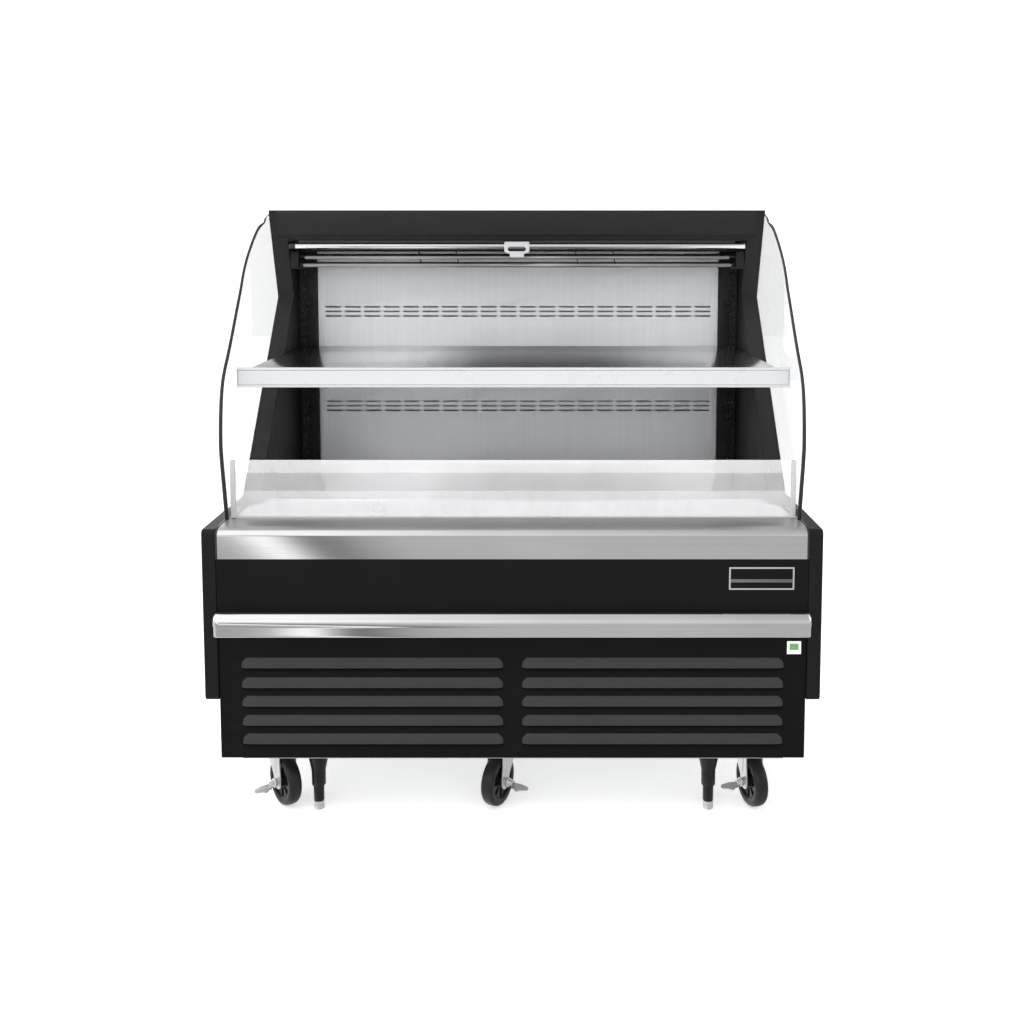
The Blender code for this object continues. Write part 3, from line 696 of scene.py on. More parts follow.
# Bumper rail: bulged upper half, flat lower half, mitred ends with caps
prof = [(-0.3, 533.8)] + [(-6 - 24 * math.sin(math.radians(p)), 507 + 26.8 * math.cos(math.radians(p))) for p in range(0, 101, 4)]
prof += [(-28.2, 501.7), (-26.4, 501.3), (-25.5, 500.6), (-25.4, 499.6), (-25.4, 498.6), (-25.4, 481.6), (-25.4, 480.6), (-25.4, 477.6)]
prof += arc(-22.4, 477.6, 3, 190, 270, 5) + [(-0.3, 474.2)]
bm = bmesh.new()
rings = []
for x, inset in ((-719, 5.0), (-717, 2.2), (-713, 0.2), (-711, 0.0), (-704, 0.0), (704, 0.0), (711, 0.0), (713, 0.2), (717, 2.2), (719, 5.0)):
    row = []
    for t, z in prof:
        tt = -0.3 if t > -0.5 else t + inset * min(1.0, -t / 20)
        zz = z - inset * 0.5 if z > 526 else z
        row.append(bm.verts.new(pt(x, tt, zz)))
    rings.append(row)
for a, b in zip(rings, rings[1:]):
    for i in range(len(a)):
        j = (i + 1) % len(a)
        bm.faces.new([a[i], a[j], b[j], b[i]])
bm.faces.new(rings[0])
bm.faces.new(list(reversed(rings[-1])))
obj_from(bm, "bumper_extrusion", ROOT, M["bumper"], 28, replaces=("bumper_rail",))

# Louvred panel: one pressed sheet with ten real hoods and the slots under them
HOODS = [(x0, x1, zb) for x0, x1 in ((-661.0, -22.0), (22.0, 661.0)) for zb in (391.0, 341.5, 295.0, 247.0, 200.0)]
HOOD_H, HOOD_D = 27.5, 8.6


def hood_depth(x, z, x0, x1, zb):
    s = min(x - x0, x1 - x)
    end = min(1.0, max(0.0, s / 20.0))
    top = HOOD_H * (0.18 + 0.82 * math.sqrt(max(0.0, 1 - (1 - end) ** 2)))
    v = min(1.0, (z - zb) / top)
    rise = math.cos(v * math.pi / 2) ** 0.85 if v < 1 else 0.0
    return HOOD_D * math.sqrt(max(0.0, 1 - (1 - end) ** 2)) * rise


def panel_sheet(name, t_face, thick, x_lo, x_hi, z_lo, z_hi, hoods, flange, replaces, mat, facing=-1):
    """A folded sheet whose hoods are pressed out of it; each hood's lower lip stands clear of the sheet."""
    xs = {x_lo, x_hi}
    zs = {z_lo, z_hi}
    for x0, x1, zb in hoods:
        for s in (0, 0.6, 1.6, 3, 5, 8, 12, 16, 20, 26):
            xs |= {x0 + s, x1 - s}
        mid = int((x1 - x0 - 52) // 90)
        for k in range(1, mid):
            xs.add(round(x0 + 26 + (x1 - x0 - 52) * k / mid, 3))
        for k in range(11):
            zs.add(round(zb + HOOD_H * (k / 10) ** 1.15, 3))
    xs, zs = sorted(xs), sorted(zs)
    bm = bmesh.new()
    grid = {}

    def vert(x, z, hood):
        depth = 0.0
        tag = None
        if hood is not None:
            depth = hood_depth(x, z, *hood)
            if abs(z - hood[2]) < 1e-6 and depth > 0.05:
                tag = hood
        key = (x, z, tag)
        if key not in grid:
            grid[key] = bm.verts.new(pt(x, t_face + facing * depth, z))
        return grid[key]

    for x, xn in zip(xs, xs[1:]):
        for z, zn in zip(zs, zs[1:]):
            cx, cz = (x + xn) / 2, (z + zn) / 2
            inside = [h for h in hoods if h[0] < cx < h[1] and h[2] < cz < h[2] + HOOD_H]
            hood = inside[0] if inside else None
            if hood is None:
                near = [h for h in hoods if h[0] <= cx <= h[1]]
            corners = [vert(a, b, hood) for a, b in ((x, z), (xn, z), (xn, zn), (x, zn))]
            face = bm.faces.new(corners)
            if hood is not None and min(hood_depth(v.co.x / MM, v.co.z / MM, *hood) for v in face.verts) > 0.6:
                face.material_index = 1
    if flange:
        border = [(e.verts[0], e.verts[1]) for e in bm.edges if e.is_boundary and all(
            v.co.x < (x_lo + 0.01) * MM or v.co.x > (x_hi - 0.01) * MM or v.co.z < (z_lo + 0.01) * MM or v.co.z > (z_hi - 0.01) * MM for v in e.verts)]
        back = {}
        for a, b in border:
            for v in (a, b):
                if v not in back:
                    back[v] = bm.verts.new(v.co + Vector((0, -facing * flange * MM, 0)))
            bm.faces.new([a, b, back[b], back[a]])
    bm.normal_update()
    bmesh.ops.recalc_face_normals(bm, faces=bm.faces)
    front = max(bm.faces, key=lambda f: f.calc_area() if abs(f.normal.y) > 0.9 else 0)
    if front.normal.y * facing < 0:
        bmesh.ops.reverse_faces(bm, faces=bm.faces)
    mesh = bpy.data.meshes.new(name)
    bm.to_mesh(mesh)
    bm.free()
    obj = dress(mesh, name, ROOT, mat, 38, replaces=replaces)
    # The hood faces get the brighter copy of the black coat: painted light.
    if facing < 0:
        mesh.materials.append(M["hood"])
    mod = obj.modifiers.new("sheet", "SOLIDIFY")
    mod.thickness = thick * MM
    mod.offset = -1
    return obj


panel_sheet("louvred_panel", 5.0, 1.2, -715, 715, 162, 466, HOODS, 9.0, ("front_grille",), M["grille"])

# Badge: a blank framed plate
slab("badge_frame", ROOT, M["bright"], 523.5, 681.5, -0.9, 0.5, 585.5, 641.5, 0.8)
slab("badge_face", ROOT, M["fascia"], 527.5, 677.5, -1.2, -0.8, 589.5, 637.5, 0.2)
slab("badge_band", ROOT, M["blade"], 527.5, 677.5, -1.5, -1.1, 604, 612, 0.15)
# Blank sticker on the panel
slab("sticker_base", ROOT, M["sticker"], 668, 702, 4.3, 5.0, 424, 456, 0.2)
slab("sticker_field", ROOT, M["sticker_green"], 674, 696, 4.1, 4.5, 434, 450, 0.1)

# End panels: rounded slabs with a soft edge
for side, s in (("left", -1), ("right", 1)):
    outline = arc(12, 320, 12, 180, 270, 8) + arc(848, 320, 12, 270, 360, 8) + arc(848, 721, 12, 0, 90, 8) + arc(12, 721, 12, 90, 180, 8)
    side_prism(f"end_panel_skin_{side}", ROOT, M["wall_edge"], s * 716.4, s * 750, outline, 2.6, 30, 4, replaces=(f"end_panel_{side}",))
    screws(f"end_panel_caps_{side}", ROOT, M["screw_black"], [(pt(s * 750, t, z), (s, 0, 0)) for t in (40, 430, 820) for z in (340, 700)], 5.0, 1.6)

# ------------------------------------------------------------------ upper structure
for side, s in (("left", -1), ("right", 1)):
    keep(f"end_wall_{side}", M["wall"], 1.6, 3)
keep("roof_panel", M["header"], 1.2, 3)
keep("base_pan", M["galv"], 0.6)
keep("insulated_body", M["foam"], 1.0)
keep("ceiling_panel", M["strip"], 0.5)
keep("deck_frame", M["galv"], 0.5)
# Header: a folded sheet with a hemmed foot
header = [(570, 1445.6)] + arc(572.2, 1507.6, 2.2, 180, 90, 5) + [(599.6, 1509.8), (599.6, 1508.6)] + arc(573.2, 1506.4, 2.0, 90, 180, 4) + [(571.2, 1446.2), (572.6, 1444.4), (571.6, 1443.6), (570.5, 1444.4)]
side_prism("header_sheet", ROOT, M["header"], -687, 687, header, 0.0, 35, replaces=("header_cover",))
foot = [(571.4, 1446), (573.2, 1444), (576.4, 1436), (577.2, 1432), (579, 1431), (586, 1431), (586, 1432.2), (579.6, 1432.2), (578.4, 1433), (577.4, 1437), (574.2, 1445), (572.4, 1447)]
side_prism("header_foot", ROOT, M["strip"], -687, 687, foot, 0.0, 35, slot="black_panel")

# Glass ends with a bent black edge trim
EDGE = [(535, 1490), (520, 1478), (486, 1470), (451, 1459), (400, 1431), (352, 1398),
        (317, 1370), (284, 1334), (261, 1301), (215, 1246), (169, 1189), (126, 1140),
        (90, 1102), (66, 1058), (53, 1000), (47, 942), (50, 901), (63, 839), (76, 778),
        (84, 745), (86, 738)]


def smooth_line(points, per=6):
    out = []
    for i in range(len(points) - 1):
        p0 = Vector(points[max(i - 1, 0)])
        p1, p2 = Vector(points[i]), Vector(points[i + 1])
        p3 = Vector(points[min(i + 2, len(points) - 1)])
        for k in range(per):
            u = k / per
            out.append(0.5 * ((2 * p1) + (p2 - p0) * u + (2 * p0 - 5 * p1 + 4 * p2 - p3) * u * u + (3 * p1 - p0 - 3 * p2 + p3) * u ** 3))
    out.append(Vector(points[-1]))
    for _ in range(3):
        out = [out[0]] + [(out[i - 1] + out[i] * 2 + out[i + 1]) / 4 for i in range(1, len(out) - 1)] + [out[-1]]
    return out


line = smooth_line([(a, b) for a, b in EDGE])
for side, s in (("left", -1), ("right", 1)):
    glass_outline = [(p.x + 1.5, p.y) for p in line] + [(228, 738.2), (686, 1262.7), (590, 1500.5), (560, 1498)]
    side_prism(f"end_glass_pane_{side}", ROOT, M["glass"], s * 707.2, s * 712.8, glass_outline, 0.0, 25, replaces=(f"end_glass_{side}",))
    # U-section trim: rounded outside, closed over the glass's edge
    bm = bmesh.new()
    rows = []
    for i, p in enumerate(line):
        q0, q1 = line[max(i - 1, 0)], line[min(i + 1, len(line) - 1)]
        d = (q1 - q0).normalized()
        n = Vector((d.y, -d.x))
        if n.x > 0:
            n = -n
        share = min(1.0, max(0.0, (p.y - 800) / 600))
        end = min(1.0, max(0.12, i / 14.0))
        w = (4.6 - 1.9 * share) * (0.4 + 0.6 * end)
        d0, d1 = -2.4 * end, 4.6 * end
        section = [(d0, 710 - w), (d1 * 0.5, 710 - w), (d1 * 0.85, 710 - w * 0.7), (d1, 710 - w * 0.3), (d1, 710 + w * 0.3), (d1 * 0.85, 710 + w * 0.7), (d1 * 0.5, 710 + w), (d0, 710 + w)]
        rows.append([bm.verts.new(pt(s * x, p.x + n.x * o, p.y + n.y * o)) for o, x in section])
    for a, b in zip(rows, rows[1:]):
        for i in range(8):
            j = (i + 1) % 8
            bm.faces.new([a[i], a[j], b[j], b[i]])
    bm.faces.new(rows[0])
    bm.faces.new(list(reversed(rows[-1])))
    bm.normal_update()
    obj_from(bm, f"edge_trim_{side}", ROOT, M["trim"], 50, replaces=(f"glass_trim_{side}",))

# Low front glass in white end clips
slab("air_dam_glass", ROOT, M["dam_glass"], -700, 700, 103.2, 107.8, 736.8, 882.8, 0.7, 3, replaces=("front_glass",)).visible_glossy = False
bpy.data.objects["air_dam_glass"].visible_shadow = False
for side, s in (("left", -1), ("right", 1)):
    bm = bmesh.new()
    prism(bm, [pt(s * x, t, 738) for x, t in ((704, 99), (694.4, 99), (693, 100.4), (693, 102.6), (700.8, 102.6), (700.8, 108.4), (693, 108.4), (693, 110.6), (694.4, 112), (704, 112))], Vector((0, 0, 143 * MM)))
    obj_from(bm, f"glass_clip_{side}", ROOT, M["white"], 30, 0.5, 2, slot="white_plastic")
side_prism("glass_channel", ROOT, M["bright"], -691, 691, [(101.4, 736.2), (109.6, 736.2), (109.6, 738.4), (108.3, 738.4), (108.3, 736.6), (102.8, 736.6), (102.8, 738.4), (101.4, 738.4)], 0.0, 30, slot="stainless")

# ------------------------------------------------------------------ air path
cols = [-583.5 + 59.0 * i + 2.7 for i in range(20)]
slots = []
for z_mid in (1214.0, 925.0):
    for row in (-14, 0, 14):
        for cx in cols:
            slots.append(obround(cx + 20, z_mid + row, 49, 5.0))
plate_holes("duct_panel", ROOT, M["duct"], [(-606, 700), (606, 700), (606, 1395.4), (-606, 1395.4)], slots, 0.9, upright(746.9), 0.3, replaces=("back_duct_panel",))
for side, s in (("left", -1), ("right", 1)):
    holes = []
    z = 760
    while z < 1360:
        for dx in (-5, 5):
            holes.append(obround(0, 0, 10, 2.4, 2))
            holes[-1] = [(s * 648 + dx + b, z + a) for a, b in holes[-1]]
        z += 25
    plate_holes(f"standard_{side}", ROOT, M["strip"], [(s * 608.2, 700), (s * 663.8, 700), (s * 663.8, 1395.4), (s * 608.2, 1395.4)] if s > 0 else
                [(-663.8, 700), (-608.2, 700), (-608.2, 1395.4), (-663.8, 1395.4)], holes, 1.6, upright(745.4), 0.25, replaces=(f"shelf_standard_{side}",))
    bm = bmesh.new()
    for z in (1240, 915):
        add_turned(bm, [(0, -3), (11, -3), (11, 0.4), (10.2, 1.6), (8, 2.0), (7.2, 1.2), (0, 1.2)], 28, y_frame(s * 633, 743.9, z) @ Matrix.Rotation(math.pi, 4, "Z"))
    obj_from(bm, f"wall_plugs_{side}", ROOT, M["plug"], 35)
    keep(f"shelf_bracket_{side}", M["strip"], 0.6)

# Discharge blades
def blade(name, x, t, z, **kw):
    """One air blade: a shallow curl of sheet, leaning back at the top."""
    outer = [(t + 7.0 - 8.0 * math.cos(math.radians(a)) * 0.9, z + 8.6 * math.sin(math.radians(a))) for a in range(-70, 71, 14)]
    inner = [(t + 8.4 - 8.0 * math.cos(math.radians(a)) * 0.85, z + 7.6 * math.sin(math.radians(a))) for a in range(68, -69, -14)]
    lean = [(tt + (zz - z) * 0.28, zz) for tt, zz in outer + inner]
    return side_prism(name, ROOT, M["blade"], -x, x, lean, 0.0, 45, **kw)


blade("air_blade_upper", 621, 636.5, 1381.5, replaces=("discharge_grille",))
blade("air_blade_lower", 627, 639.5, 1358, slot="galvanised")
bm = bmesh.new()
for x in (-285, -175, 175, 285):
    prism(bm, [pt(x + dx, t, z) for dx, t, z in ((-5, 640.5, 1396), (-3, 640.5, 1396), (5, 640.5, 1350), (3, 640.5, 1350))], Vector((0, 22 * MM, 0)))
obj_from(bm, "blade_dividers", ROOT, M["strip"], 30, slot="galvanised")
bm = bmesh.new()
for s in (-1, 1):
    add_box(bm, s * 628, s * 663, 634, 662, 1346, 1352)
    add_box(bm, s * 640, s * 663, 636, 640, 1352, 1396)
    add_box(bm, s * 629, s * 634, 632, 646, 1354, 1362)
    add_box(bm, s * 623, s * 636, 634, 648, 1378, 1385)
obj_from(bm, "discharge_end_brackets", ROOT, M["strip"], 30, 0.8, 2)

# Return grille: white sheet with rows of slots and a bright front lip
ret = []
for t in range(132, 262, 12):
    half = 640 if t > 214 else 660
    n = int(2 * half // 44)
    for k in range(n):
        ret.append(obround(-half + 22 + 44 * k + (2 * half - 44 * n) / 2, t, 34, 5.0, 3))
plate_holes("return_sheet", ROOT, M["white_metal"], [(-690, 112.4), (690, 112.4), (690, 219.8), (665, 220.8), (665, 267.6), (-665, 267.6), (-665, 220.8), (-690, 219.8)],
            ret, 1.0, flat_at(740.6), 0.3, replaces=("return_grille",))
side_prism("return_lip", ROOT, M["white_metal"], -688, 688, [(112.6, 741.6), (112.6, 744.4), (113.4, 745.4), (114.6, 745.4), (115.4, 744.4), (115.4, 741.6)], 0.0, 30)

# ------------------------------------------------------------------ shelf and deck
def tray_piece(name, body, mat, x0, x1, t0, t1, z0, z1, wall, nose, **kw):
    bm = bmesh.new()
    rings = []
    for a0, a1, b0, b1, z in ((x0, x1, t0, t1, z0), (x0, x1, t0, t1, z1), ):
        rings.append((a0, a1, b0, b1, z))
    levels = [(0, z0), (0, z1 - nose)]
    for k in range(1, 5):
        a = math.pi / 2 * k / 4
        levels.append((nose * (1 - math.cos(a)), z1 - nose + nose * math.sin(a)))
    inner = [(wall, z1 - wall - 0.2), (wall, z0)]
    loops = []
    for inset, z in levels:
        loops.append([bm.verts.new(pt(x, t, z)) for x, t in ((x0 + inset, t0 + inset), (x1 - inset, t0 + inset), (x1 - inset, t1 - inset), (x0 + inset, t1 - inset))])
    top = bm.faces.new(loops[-1])
    under = []
    for inset, z in inner:
        under.append([bm.verts.new(pt(x, t, z)) for x, t in ((x0 + inset, t0 + inset), (x1 - inset, t0 + inset), (x1 - inset, t1 - inset), (x0 + inset, t1 - inset))])
    bm.faces.new(list(reversed(under[0])))
    seq = loops + [None]
    for a, b in zip(loops, loops[1:]):
        for i in range(4):
            j = (i + 1) % 4
            bm.faces.new([a[i], a[j], b[j], b[i]])
    for a, b in ((under[0], under[1]), (under[1], loops[0])):
        for i in range(4):
            j = (i + 1) % 4
            bm.faces.new([a[i], a[j], b[j], b[i]])
    return obj_from(bm, name, body, mat, 40, **kw)


tray_piece("shelf_sheet", "shelf", M["shelf"], -660, 660, 156.6, 743, 1084, 1109, 1.6, 1.6, replaces=("shelf",))
bm = bmesh.new()
for x in (-440, -220, 0, 220, 440):
    add_box(bm, x - 18, x + 18, 190, 728, 1098, 1107)
obj_from(bm, "shelf_stiffeners", "shelf", M["galv"], 30, 1.0, 2)
rail = [(156.2, 1109.0), (149.6, 1109.0), (148.4, 1108.2), (148.0, 1106.8), (148.0, 1103.6), (148.8, 1102.6), (151.4, 1102.4), (151.4, 1065.6),
        (148.8, 1065.4), (148.0, 1064.4), (148.0, 1061.2), (148.6, 1059.6), (150.0, 1059.0), (156.2, 1059.0)]
side_prism("price_rail", "shelf", M["white"], -693, 693, rail, 0.25, 30, replaces=("shelf_rail",))
side_prism("price_rail_strip", "shelf", M["white"], -691, 691, [(148.7, 1066.2), (151.3, 1066.2), (151.3, 1101.8), (148.7, 1101.8)], 0.2, 30, slot="white_plastic")
for side, s in (("left", -1), ("right", 1)):
    slab(f"price_rail_cap_{side}", "shelf", M["white"], s * 693, s * 695, 147.8, 156.4, 1058.8, 1109.2, 0.6, 2, slot="white_plastic")
tray_piece("deck_sheet", "deck_pan", M["deck"], -664, 664, 271, 741.0, 715.2, 745, 1.6, 2.0, replaces=("deck_pan",))
bm = bmesh.new()
for x in (-250, 250):
    for dt in (0, 1):
        add_turned(bm, [(12, -0.3), (17, -0.3), (17, 0.5), (15.5, 0.9), (12, 0.5)], 28, z_frame(x, 320 + dt * 372, 745))
obj_from(bm, "deck_finger_grommets", "deck_pan", M["deck"], 40, slot="stainless")

# ------------------------------------------------------------------ night curtain
keep("curtain_cassette", M["strip"], 0.4)
keep("curtain_roller", M["galv"], 0.5)
turned("pull_bar", "curtain_bar", M["bar"], [(0, -650), (9.4, -650), (9.5, -649.6), (9.5, 657.2), (9.2, 658), (0, 658)], 40, x_frame(0, 600, 1413), 40, replaces=("curtain_bar",))
turned("pull_bar_cap", "curtain_bar", M["screw_black"], [(0, -658), (7.5, -658), (9.2, -656.8), (9.8, -655), (9.8, -640), (9.5, -639.2), (0, -639.2)], 40, x_frame(0, 600, 1413), 40, slot="black_plastic")
outline = arc(-32, 1420.8, 4.2, 180, 90, 5) + arc(32, 1420.8, 4.2, 90, 0, 5) + [(36.5, 1410), (36.2, 1404.5)] + arc(27.5, 1401, 8.8, -10, -72, 5) + \
    [(21.5, 1390.5), (20.4, 1386)] + arc(16.4, 1384.2, 4.2, 0, -90, 4) + arc(-16.4, 1384.2, 4.2, -90, -180, 4) + [(-20.4, 1386), (-21.5, 1390.5)] + \
    arc(-27.5, 1401, 8.8, -108, -170, 5) + [(-36.2, 1404.5), (-36.5, 1410)]
hole = [arc(-19.5, 1404, 6.6, 90, 270, 8) + arc(19.5, 1404, 6.6, -90, 90, 8)]
plate_holes("pull_handle", "curtain_bar", M["white"], outline, hole, 3.4, upright(587.3), 0.9, replaces=("curtain_handle",))
side_prism("pull_handle_lip", "curtain_bar", M["white"], -19, 19, [(584.4, 1380.2), (591.5, 1380.2), (592.6, 1381.2), (592.6, 1383), (591.5, 1384), (584.4, 1384)], 0.8, 30, slot="white_plastic")
bm = bmesh.new()
for s in (-1, 1):
    prism(bm, [pt(s * 30 - 3, t, z) for t, z in [(589, 1420)] + arc(600, 1413, 11.0, 140, -130, 12) + [(589, 1405), (589, 1408)] + arc(600, 1413, 9.6, -125, 135, 12) + [(590.5, 1418)]], Vector((6 * MM, 0, 0)))
obj_from(bm, "pull_handle_hooks", "curtain_bar", M["white"], 40, slot="white_plastic")
# Fabric: wound on its roller, and a leader from the roller down to the bar
bm = bmesh.new()
turns, per = 4, 36
inner_r, pitch = 22.6, 0.9
spiral = []
for k in range(turns * per + 1):
    a = math.pi + 2 * math.pi * k / per
    r = inner_r + pitch * k / per
    spiral.append((r * math.cos(-a), r * math.sin(-a)))
xs = [-630 + 1260 * i / 12 for i in range(13)]
rows = [[bm.verts.new(pt(x, 622 + dt, 1466 + dz)) for x in xs] for dt, dz in spiral]
for a, b in zip(rows, rows[1:]):
    for i in range(12):
        bm.faces.new([a[i], a[i + 1], b[i + 1], b[i]])
wound = obj_from(bm, "night_curtain_wound", "curtain_roller", M["fabric"], 60, slot="black_plastic")
mod = wound.modifiers.new("cloth", "SOLIDIFY")
mod.thickness = 0.0003
start = (622 - 26.4, 1466.0)
end = (600 - 2.0, 1422.0)
bm = bmesh.new()
steps = 40
rows = []
for k in range(steps + 1):
    u = k / 10 * 0.84 if k <= 10 else 0.84 + 0.16 * (k - 10) / (steps - 10)
    t = start[0] + (end[0] - start[0]) * u
    z = start[1] + (end[1] - start[1]) * u
    rows.append([bm.verts.new(pt(x, t, z)) for x in xs])
for a, b in zip(rows, rows[1:]):
    for i in range(12):
        bm.faces.new([a[i], a[i + 1], b[i + 1], b[i]])
mesh = bpy.data.meshes.new("night_curtain_leader")
bm.to_mesh(mesh)
bm.free()
leader = dress(mesh, "night_curtain_leader", None, M["fabric"], 60, slot="black_plastic", ride=False)
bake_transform(leader)
# Catch on the return grille
bm = bmesh.new()
add_box(bm, -11, 11, 113.4, 123.6, 745.6, 747.4)
add_box(bm, -7, -3.6, 113.8, 122.0, 747.0, 754.0)
add_box(bm, 3.6, 7, 113.8, 122.0, 747.0, 754.0)
add_box(bm, -7, 7, 113.6, 116.0, 752.4, 756.8)
obj_from(bm, "catch_hook", ROOT, M["white"], 30, 0.5, 2, replaces=("curtain_catch",))

# ------------------------------------------------------------------ rear
REAR_HOODS = [(x0, x1, zb) for x0, x1 in ((-560.0, -40.0), (40.0, 560.0)) for zb in (300.0, 345.0, 390.0, 435.0)]
panel_sheet("rear_sheet", 888.4, 1.0, -700, 700, 261, 1502.6, [(a, b, z) for a, b, z in REAR_HOODS], 7.0, ("rear_cover",), M["header"], facing=1)
bpy.data.objects["rear_sheet"].data.transform(Matrix.Translation((0, 0, 0)))
screws("rear_screws", ROOT, M["screw"], [(pt(x, 888.4, z), (0, 1, 0)) for x in (-688, -344, 0, 344, 688) for z in (275, 1488)] +
       [(pt(x, 888.4, z), (0, 1, 0)) for x in (-688, 688) for z in (520, 765, 1010, 1250)], 4.0, 1.6)

# ------------------------------------------------------------------ machine compartment
KNIFE = dict(bevel=0.0)


def fin_pack(bm, axis, x0, x1, t0, t1, z0, z1, pitch, thick=0.35):
    """Real thin plates side by side along one axis."""
    lo, hi = {"X": (x0, x1), "T": (t0, t1)}[axis]
    n = int((hi - lo) // pitch)
    for k in range(n + 1):
        a = lo + (hi - lo - thick) * k / n
        if axis == "X":
            add_box(bm, a, a + thick, t0, t1, z0, z1)
        else:
            add_box(bm, x0, x1, a, a + thick, z0, z1)


# Condenser coil: fins, end plates, tube bends
bm = bmesh.new()
fin_pack(bm, "X", 66, 464, 72, 128, 204, 438, 3.2)
obj_from(bm, "condenser_fins", ROOT, M["fins"], 30, replaces=("condenser",))
bm = bmesh.new()
for x in (60, 466):
    add_box(bm, x, x + 4, 70, 130, 202, 440)
add_box(bm, 60, 470, 70, 130, 202, 204)
add_box(bm, 60, 470, 70, 130, 438, 440)
obj_from(bm, "condenser_frame", ROOT, M["galv"], 30, 0.6, 2, slot="galvanised")
for k in range(5):
    z = 222 + 44 * k
    tube_along(f"condenser_bend_{k}", ROOT, M["copper"], [(468, 88, z), (484, 88, z), (484, 88, z + 22), (468, 88, z + 22)], 4.2, slot="fin_aluminium")
    tube_along(f"condenser_bend_b{k}", ROOT, M["copper"], [(62, 112, z), (48, 112, z), (48, 112, z + 22), (62, 112, z + 22)], 4.2, slot="fin_aluminium")

# Compressor: two drawn shells with a weld flange, feet, terminal cover and stubs
cz = z_frame(-330, 480, 201)
pot = [(0, 6), (40, 4), (70, 8), (82, 20), (86, 36), (86, 84), (87.6, 86), (90, 87), (90, 93), (87.6, 94), (86, 96), (86, 146)] + \
    [(86 - 22 * (1 - math.cos(math.radians(a))), 146 + 30 * math.sin(math.radians(a))) for a in (18, 36, 54, 72)] + [(60, 180), (40, 190), (20, 196), (0, 198)]
turned("compressor_shell", ROOT, M["pot"], pot, 48, cz, 35, replaces=("compressor",))
bm = bmesh.new()
for k in range(4):
    a = math.radians(45 + 90 * k)
    cx, ct = -330 + 92 * math.cos(a), 480 + 92 * math.sin(a)
    add_turned(bm, [(0, 0), (14, 0), (15, 1.5), (15, 8), (12, 10), (12, 14), (0, 14)], 20, z_frame(cx, ct, 201))
obj_from(bm, "compressor_grommets", ROOT, M["rubber"], 35, slot="wheel_rubber")
bm = bmesh.new()
add_box(bm, -410, -250, 395, 425, 214, 217)
add_box(bm, -410, -250, 535, 565, 214, 217)
obj_from(bm, "compressor_feet", ROOT, M["galv"], 30, 1.0, 2, slot="galvanised")
slab("compressor_terminal_cover", ROOT, M["leg"], -364, -296, 380, 402, 262, 322, 4.0, 4, slot="black_plastic")
tube_along("suction_pipe", ROOT, M["copper"], [(-250, 490, 300), (-190, 490, 300), (-190, 490, 470), (-190, 560, 505)], 6.3, slot="fin_aluminium")
tube_along("discharge_pipe", ROOT, M["copper"], [(-252, 450, 330), (-150, 450, 330), (-150, 150, 330), (-150, 100, 416), (62, 100, 416)], 4.2, slot="fin_aluminium")
tube_along("liquid_pipe", ROOT, M["copper"], [(62, 88, 214), (-20, 88, 214), (-20, 300, 214), (-60, 420, 214), (-60, 470, 300), (-60, 560, 505)], 3.2, slot="fin_aluminium")
turned("receiver_drier", ROOT, M["copper"], [(0, -52), (3.2, -52), (4, -44), (11, -36), (11, 36), (4, 44), (3.2, 52), (0, 52)], 24, y_frame(-20, 200, 214), slot="fin_aluminium")
keep("condenser_motor", M["leg"], 1.2, 3)
keep("condenser_fan", M["galv"], 0.6, 2)
keep("evaporator_fan", M["leg"], 0.5, 2)
bm = bmesh.new()
ring = []
steps = 48
inner, outer = 122, 146
for k in range(steps):
    a = 2 * math.pi * k / steps
    c, s = math.cos(a), math.sin(a)
    ring.append([bm.verts.new(pt(265 + r * c, t, 321 + r * s * 0.92 if r > inner + 1 else 321 + r * s * 0.965)) for r, t in ((inner, 158), (inner, 176), (inner + 1.2, 176), (inner + 1.2, 159), (118.5 + 20, 158.8), (118.5 + 20, 157.6))])
for k in range(steps):
    a, b = ring[k], ring[(k + 1) % steps]
    for i in range(6):
        j = (i + 1) % 6
        bm.faces.new([a[i], a[j], b[j], b[i]])
bmesh.ops.delete(bm, geom=[], context="VERTS")
obj_from(bm, "fan_shroud_ring", ROOT, M["galv"], 35, slot="galvanised")

# Control box with lid and knock-outs
slab("control_box_case", ROOT, M["galv"], -640, -470, 64, 210, 201.2, 350, 1.5, 3, replaces=("control_box",))
slab("control_box_lid", ROOT, M["galv"], -641.5, -468.5, 60, 66, 203, 351.5, 1.5, 3, slot="galvanised")
screws("control_box_screws", ROOT, M["screw"], [(pt(x, 60, z), (0, -1, 0)) for x in (-630, -480) for z in (214, 340)], 3.6, 1.6)
bm = bmesh.new()
for z in (240, 276, 312):
    add_turned(bm, [(0, -1), (9, -1), (9, 0.8), (8, 1.2), (0, 1.2)], 24, x_frame(-470, 140, z))
obj_from(bm, "control_box_knockouts", ROOT, M["galv"], 35, slot="galvanised")

# Evaporator under the deck
bm = bmesh.new()
fin_pack(bm, "X", -516, 516, 422, 638, 533, 658, 5.0, 0.5)
obj_from(bm, "evaporator_fins", ROOT, M["fins"], 30, replaces=("evaporator",))
bm = bmesh.new()
for x in (-520, 517):
    add_box(bm, x, x + 3, 420, 640, 531, 660)
obj_from(bm, "evaporator_plates", ROOT, M["galv"], 30, 0.5, 2, slot="galvanised")
for k in range(4):
    z = 548 + 26 * k
    tube_along(f"evaporator_bend_{k}", ROOT, M["copper"], [(518, 470 + 20 * (k % 2), z), (532, 470 + 20 * (k % 2), z), (532, 510 + 20 * (k % 2), z), (518, 510 + 20 * (k % 2), z)], 4.6, slot="fin_aluminium")
turned("evaporator_motor", ROOT, M["leg"], [(0, 0), (5, 0), (5.5, 2), (20, 3), (24, 7), (24, 34), (21, 38), (0, 38)], 32, y_frame(0, 357, 612), slot="black_plastic")
bm = bmesh.new()
